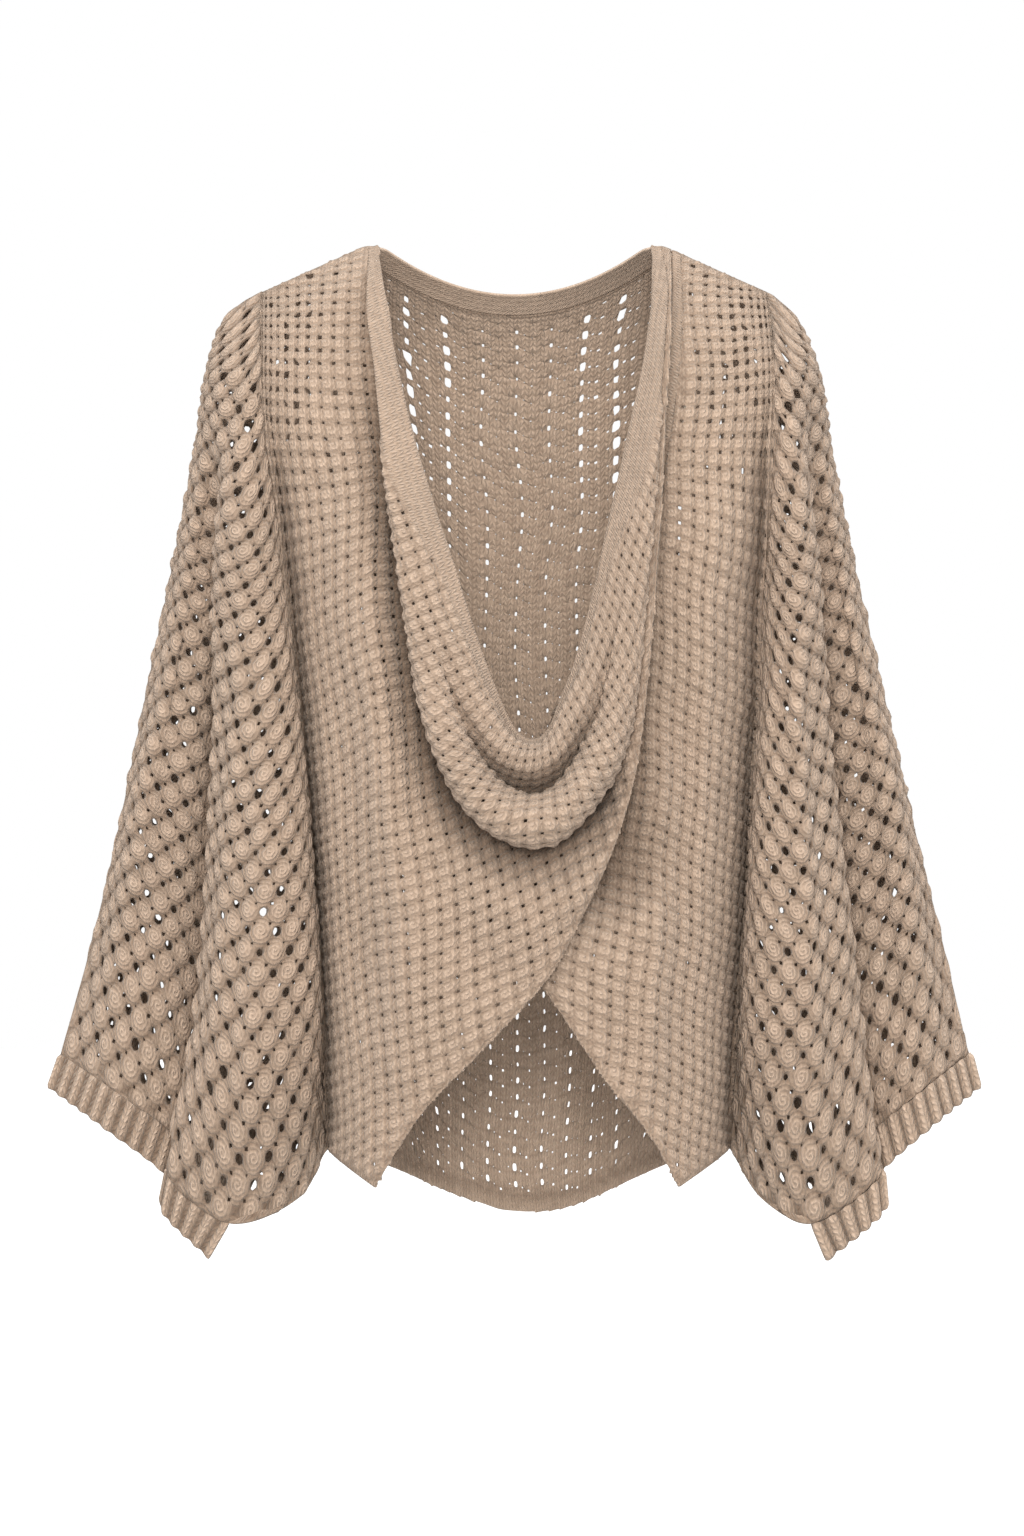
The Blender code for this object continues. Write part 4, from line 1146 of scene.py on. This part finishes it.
def turned(x, z, side):
    """How a front's knit turns towards its free edge: columns lean in low down and rows
    climb, with nothing at the side and at the top. Gives what is added across and down."""
    inwards = -side * x  # grows from the front's own side to the other
    lean = 0.17 * np.tanh(softened(-z - 0.33, 0.05) / 0.17)
    across = side * 0.3 * fade((inwards + 0.13) / 0.2) * lean
    return across, 0.55 * softened(inwards + 0.08, 0.05)


def unevenness(x, z, seed):
    """A few long waves that keep the rows and columns of the knit from being straight."""
    rng = np.random.default_rng(seed)
    total = np.zeros(np.shape(x) + (2,))
    for _ in range(WAVES):
        turn, start = rng.uniform(0, 2 * np.pi, 2)
        length = rng.uniform(*WAVE_LENGTHS)
        wave = np.sin((x * np.cos(turn) + z * np.sin(turn)) * 2 * np.pi / length + start)
        total += rng.uniform(-1, 1, 2) * wave[..., None] * WAVE_HEIGHT
    return total


def front_piece(side, shape, free_edge, folds, label, seed):
    """A front in two nets that meet along its second fold: the rolls and lapel, whose knit
    runs along the neck edge, and the body, whose knit hangs from the shoulder."""
    grid, from_neck, from_free, shade = front(side, shape, free_edge, folds)
    lip = LIP_CELLS if side == RIGHT else 0
    fold = lip + ROLL_CELLS
    rolls, body = grid[:, : fold + 1], grid[:, fold:]
    x, z = body[..., 0], body[..., 2]
    lean, climb = turned(x, z, side)
    climb += 0.75 * (np.abs(x) - NECK_HALF) * fade((z + 0.33) / 0.26)
    flat = np.stack(
        [across_figure(x, z, "front", side) + lean, down_figure(x, z, "front") + climb], -1
    )
    flat += unevenness(x, z, seed)
    height = grid[..., 2]
    band = EDGE_PLAIN * fade((height + 0.33) / 0.05) + LAPEL_PLAIN * fade((height + 0.26) / 0.14)
    band[:, fold + 1 :] = 0
    plain = fade(1 - (from_neck - band) / PLAIN_FADE)
    plain = np.maximum(plain, fade(1 - (from_free - EDGE_PLAIN) / PLAIN_FADE))
    opening = 1 + fade((height + 0.2) / 0.1) * fade((np.abs(grid[..., 0]) - 0.1) / 0.05)
    across = lengths(rolls, 1)
    middle = lip + ROLL_CELLS // 2
    along = lengths(rolls[:, middle : middle + 1], 0)
    flat_rolls = np.stack([np.broadcast_to(along, across.shape), across], -1)
    flat_rolls = flat_rolls + unevenness(rolls[..., 0], rolls[..., 2], seed + 1)

    chart = (NUB_CELL, NUB_EYELETS, NUB_REPEAT, nub_relief, NUB_HEIGHT)
    nets = []
    for name, points, places, part in (
        (label + "_knit", body, flat, slice(fold, None)),
        (label + "_rolls", rolls, flat_rolls, slice(0, fold + 1)),
    ):
        fields = [field[:, part] for field in (plain, opening, shade)]
        nets.append(knit(name, points, FORWARD, places, chart, fields, seed + len(nets)))
    return joined(label + "_knit", *nets)


def back_piece(seed):
    """The back in one net, hung from the shoulder, with a plain band along its hem."""
    grid = back_panel(BACK_FOLDS)
    x, z = grid[..., 0], grid[..., 2]
    along = lengths(grid, 0)
    flat = np.stack([across_figure(x, z, "back", RIGHT), along], -1) + unevenness(x, z, seed)
    plain = fade(1 - (along[-1:] - along - HEM_PLAIN) / PLAIN_FADE)
    chart = (BACK_CELL, BACK_EYELETS, BACK_REPEAT, back_relief, BACK_HEIGHT)
    upper = fade((z + 0.22) / 0.1) * fade((np.abs(x) - 0.02) / 0.04)
    opening = 0.55 + 0.25 * fade((-0.42 - z) / 0.08) + 0.7 * upper
    return knit("back_knit", grid, BACKWARD, flat, chart, (plain, opening, 0.0), seed)


def sleeve_pieces(side, seed):
    """The two halves of a sleeve, and the grids under them with their normals."""
    made = []
    grids = []
    for which, lines, folds, outward in (
        ("front", FRONT_LINES, SLEEVE_FRONT_FOLDS, FORWARD),
        ("back", BACK_LINES, SLEEVE_BACK_FOLDS, BACKWARD),
    ):
        grid = sleeve_half(side, lines, which)
        normals = normals_of(grid, outward)
        share = np.linspace(0, 1, grid.shape[1])[None]
        down = np.linspace(0, 1, grid.shape[0])[:, None]
        held = fade(share / 0.15) * fade((1 - share) / 0.15) * fade((1 - down) / 0.08)
        rows = folds if side == LEFT else mirrored(folds, 3)
        depth = creases(rows, grid[..., 0], grid[..., 2]) * held * fade(down / 0.05)
        grid = grid - normals * depth[..., None]
        across = lengths(grid, 1) * (1 if which == "front" else -1)
        slope = 0.32 * fade(down / 0.3) * (1 - 0.75 * down)
        along = lengths(grid, 0)[-1].mean() * down - slope * across
        flat = np.stack([across, along], -1) + 0.6 * unevenness(across, along, seed)
        opening = 1.05 + 0.25 * fade((grid[..., 2] + 0.2) / 0.1)
        chart = (LACE_CELL, LACE_EYELETS, LACE_REPEAT, lace_relief, LACE_HEIGHT)
        label = f"sleeve_{named(side)}_{which}_knit"
        made.append(knit(label, grid, outward, flat, chart, (0.0, opening, 0.0), seed + 7))
        grids.append((grid, normals_of(grid, outward)))
    return made, grids


def cuff(side, grids):
    """The ribbed cuff as a ring from the sleeve's two halves to the hem. Its ribs are squared
    waves raised along the outer normals and its lower edge is scalloped with them."""
    (front_grid, front_normals), (back_grid, back_normals) = grids
    stop = CUFF_LINE * SLEEVE_SPAN_CELLS + 1
    top = np.concatenate([front_grid[-1, :stop], back_grid[-1, stop - 2 : 0 : -1]])
    facing = np.concatenate([front_normals[-1, :stop], back_normals[-1, stop - 2 : 0 : -1]])
    hem = np.concatenate([hem_line(side, FRONT_HEM), hem_line(side, BACK_HEM_LINES)[-2:0:-1]])
    middle = (top + hem) / 2
    steps = np.linalg.norm(np.roll(middle, -1, 0) - middle, axis=1)
    along = np.concatenate([[0], np.cumsum(steps)])
    count = RIBS_ROUND * RIB_CELLS
    place = np.arange(count) / count * along[-1]

    def resampled(values):
        """The values at evenly spaced places round the cuff."""
        closed = np.concatenate([values, values[:1]])
        return np.stack([np.interp(place, along, closed[:, axis]) for axis in range(3)], -1)

    top, hem, facing = resampled(top), resampled(hem), resampled(facing)
    for _ in range(12):
        facing = (np.roll(facing, 1, 0) + facing + np.roll(facing, -1, 0)) / 3
    facing = unit(facing)
    share = np.linspace(0, 1, CUFF_CELLS + 1)[:, None, None]
    wave = (0.5 + 0.5 * np.cos(2 * np.pi * RIBS_ROUND * place / along[-1]))[None, :, None]
    scallop = 1 + SCALLOP * (wave - 0.5) * share**4
    base = top + (hem - top) * share * scallop
    raised = fade(share / 0.12) * (1 - 0.5 * fade((share - 0.9) / 0.1))
    rings = base + facing * (RIB_HEIGHT * wave * raised - SKIN * fade(share / 0.1))
    flat = np.stack(
        [
            np.broadcast_to(place / along[-1] * RIBS_ROUND * RIB_WIDE, (len(share), count)),
            share[..., 0] * np.linalg.norm(hem - top, axis=1).mean() * np.ones((1, count)),
        ],
        -1,
    )
    index = np.arange(len(share) * count).reshape(len(share), count)
    after = np.roll(index, -1, 1)
    quads = np.stack([index[:-1], index[1:], after[1:], after[:-1]], -1).reshape(-1, 4)
    name = f"cuff_{named(side)}_knit"
    made = mesh_object(name, rings.reshape(-1, 3), quads, flat.reshape(-1, 2))
    # painted shade between the ribs and painted light on them: the colour follows the ribs' wave
    set_values(made, "relief", (wave[..., 0] * np.ones_like(share[..., 0])).ravel())
    return made


def band_piece():
    """The plain neckband as a finer grid than the solid's."""
    grid = neckband()
    flat = np.stack([lengths(grid, 1), lengths(grid, 0)], -1).reshape(-1, 2)
    spots = grid.reshape(-1, 3)
    normals = normals_of(grid, BACKWARD).reshape(-1, 3)
    quads = turned_out(np.stack(grid_corners(*grid.shape[:2]), -1), spots, normals)
    made = mesh_object("neckband_knit", spots, quads, flat)
    set_values(made, "relief", np.ones(len(spots)))
    return made


# ---------------------------------------------------------------- the sweater

# Each piece's flat cut before sewing, in metres and square metres, the same on both sides.
CUTS = {
    "front_over": ((0.47, 0.72), 0.19),
    "front_under": ((0.42, 0.68), 0.13),
    "back": ((0.42, 0.64), 0.24),
    "neckband": ((0.24, 0.03), 0.006),
    "sleeve_front": ((0.24, 0.62), 0.12),
    "sleeve_back": ((0.22, 0.60), 0.10),
    "cuff": ((0.32, 0.03), 0.0096),
}

stitch_group()
yarn_group()
nubs = yarn_material("nub_knit", nub_pattern)
lace = yarn_material("lace_knit", lace_pattern)
eyelets = yarn_material("eyelet_knit", back_pattern)
ribs = yarn_material("rib_knit", rib_pattern)
plain_knit = yarn_material("plain_knit", back_pattern)

made = {
    "front_over": front_piece(RIGHT, OVER, OVER_FREE_EDGE, OVER_FOLDS, "front_over", 11),
    "front_under": front_piece(LEFT, UNDER, UNDER_FREE_EDGE, UNDER_FOLDS, "front_under", 23),
    "back": back_piece(37),
    "neckband": band_piece(),
}
for side in (RIGHT, LEFT):
    halves, grids = sleeve_pieces(side, 41 + side)
    for which, half in zip(("front", "back"), halves):
        made[f"sleeve_{named(side)}_{which}"] = half
    made["cuff_" + named(side)] = cuff(side, grids)

looks = {
    "front": (nubs, "lace_knit"),
    "back": (eyelets, "lace_knit"),
    "neckband": (plain_knit, "plain_knit"),
    "sleeve": (lace, "lace_knit"),
    "cuff": (ribs, "rib_knit"),
}
for node, piece in made.items():
    material, slot = looks[node.split("_")[0]]
    cut = CUTS[node.replace("_right", "").replace("_left", "")]
    finish_piece(piece, node, material, slot, *cut)


# ---------------------------------------------------------------- the picture


def lamp(name, place, size, power, colour):
    """A square lamp that looks at the middle of the sweater."""
    data = bpy.data.lights.new(name, "AREA")
    data.energy = power
    data.size = size
    data.color = colour
    made = bpy.data.objects.new(name, data)
    made.location = place
    aim = Vector(LAMPS_AIM) - Vector(place)
    made.rotation_euler = aim.to_track_quat("-Z", "Y").to_euler()
    bpy.context.scene.collection.objects.link(made)


MIDDLE = (-0.0017, 0, -0.3557)  # of the photograph
PICTURE_TALL = 1.0368  # metres of the sweater's own plane from top to bottom of the photograph
CAMERA_AWAY = 6.0
SENSOR = 36
FLOOR = -0.80
FLOOR_HALF = (6, 8)
FLOOR_GLOW = 0.6  # what makes the floor as white as the backdrop, for the camera only
LAMPS_AIM = (0, 0, -0.33)
AMBIENT = 1.08  # light from all round, under a backdrop that is seen as white
WHITE = (1, 1, 1, 1)

camera_data = bpy.data.cameras.new("camera")
camera = bpy.data.objects.new("camera", camera_data)
camera.location = (MIDDLE[0], -CAMERA_AWAY, MIDDLE[2])
camera.rotation_euler = (np.pi / 2, 0, 0)
camera_data.sensor_fit = "VERTICAL"
camera_data.sensor_height = SENSOR
camera_data.lens = SENSOR * CAMERA_AWAY / PICTURE_TALL
camera_data.clip_end = 100
bpy.context.scene.collection.objects.link(camera)
bpy.context.scene.camera = camera

lamp("key", (-0.2, -1.4, 1.7), 0.9, 22, (1, 0.98, 0.95))
lamp("front", (0.0, -4.0, 0.3), 1.2, 92, (1, 0.99, 0.97))
lamp("rear", (1.2, 3.0, 1.0), 1.6, 45, (1, 1, 1))
world = bpy.data.worlds.new("studio")
world.use_nodes = True
background = world.node_tree.nodes["Background"]
background.inputs["Color"].default_value = WHITE
seen = world.node_tree.nodes.new("ShaderNodeLightPath").outputs["Is Camera Ray"]
level = maths("MULTIPLY_ADD", seen, 1.0 - AMBIENT, AMBIENT)
world.node_tree.links.new(level, background.inputs["Strength"])
bpy.context.scene.world = world
bpy.context.scene.view_settings.view_transform = "Standard"

floor_mesh = bpy.data.meshes.new("floor")
corners = [
    (across * FLOOR_HALF[0], along * FLOOR_HALF[1], FLOOR)
    for across, along in ((-1, -1), (1, -1), (1, 1), (-1, 1))
]
floor_mesh.from_pydata(corners, [], [(0, 1, 2, 3)])
floor = bpy.data.objects.new("floor", floor_mesh)
paint = bpy.data.materials.new("floor_paint")
paint.use_nodes = True
gloss = paint.node_tree.nodes["Principled BSDF"].inputs
gloss["Base Color"].default_value = (0.5, 0.5, 0.5, 1)
gloss["Emission Color"].default_value = WHITE
seen = paint.node_tree.nodes.new("ShaderNodeLightPath").outputs["Is Camera Ray"]
glow = maths("MULTIPLY", seen, FLOOR_GLOW)
paint.node_tree.links.new(glow, gloss["Emission Strength"])
floor_mesh.materials.append(paint)
bpy.context.scene.collection.objects.link(floor)
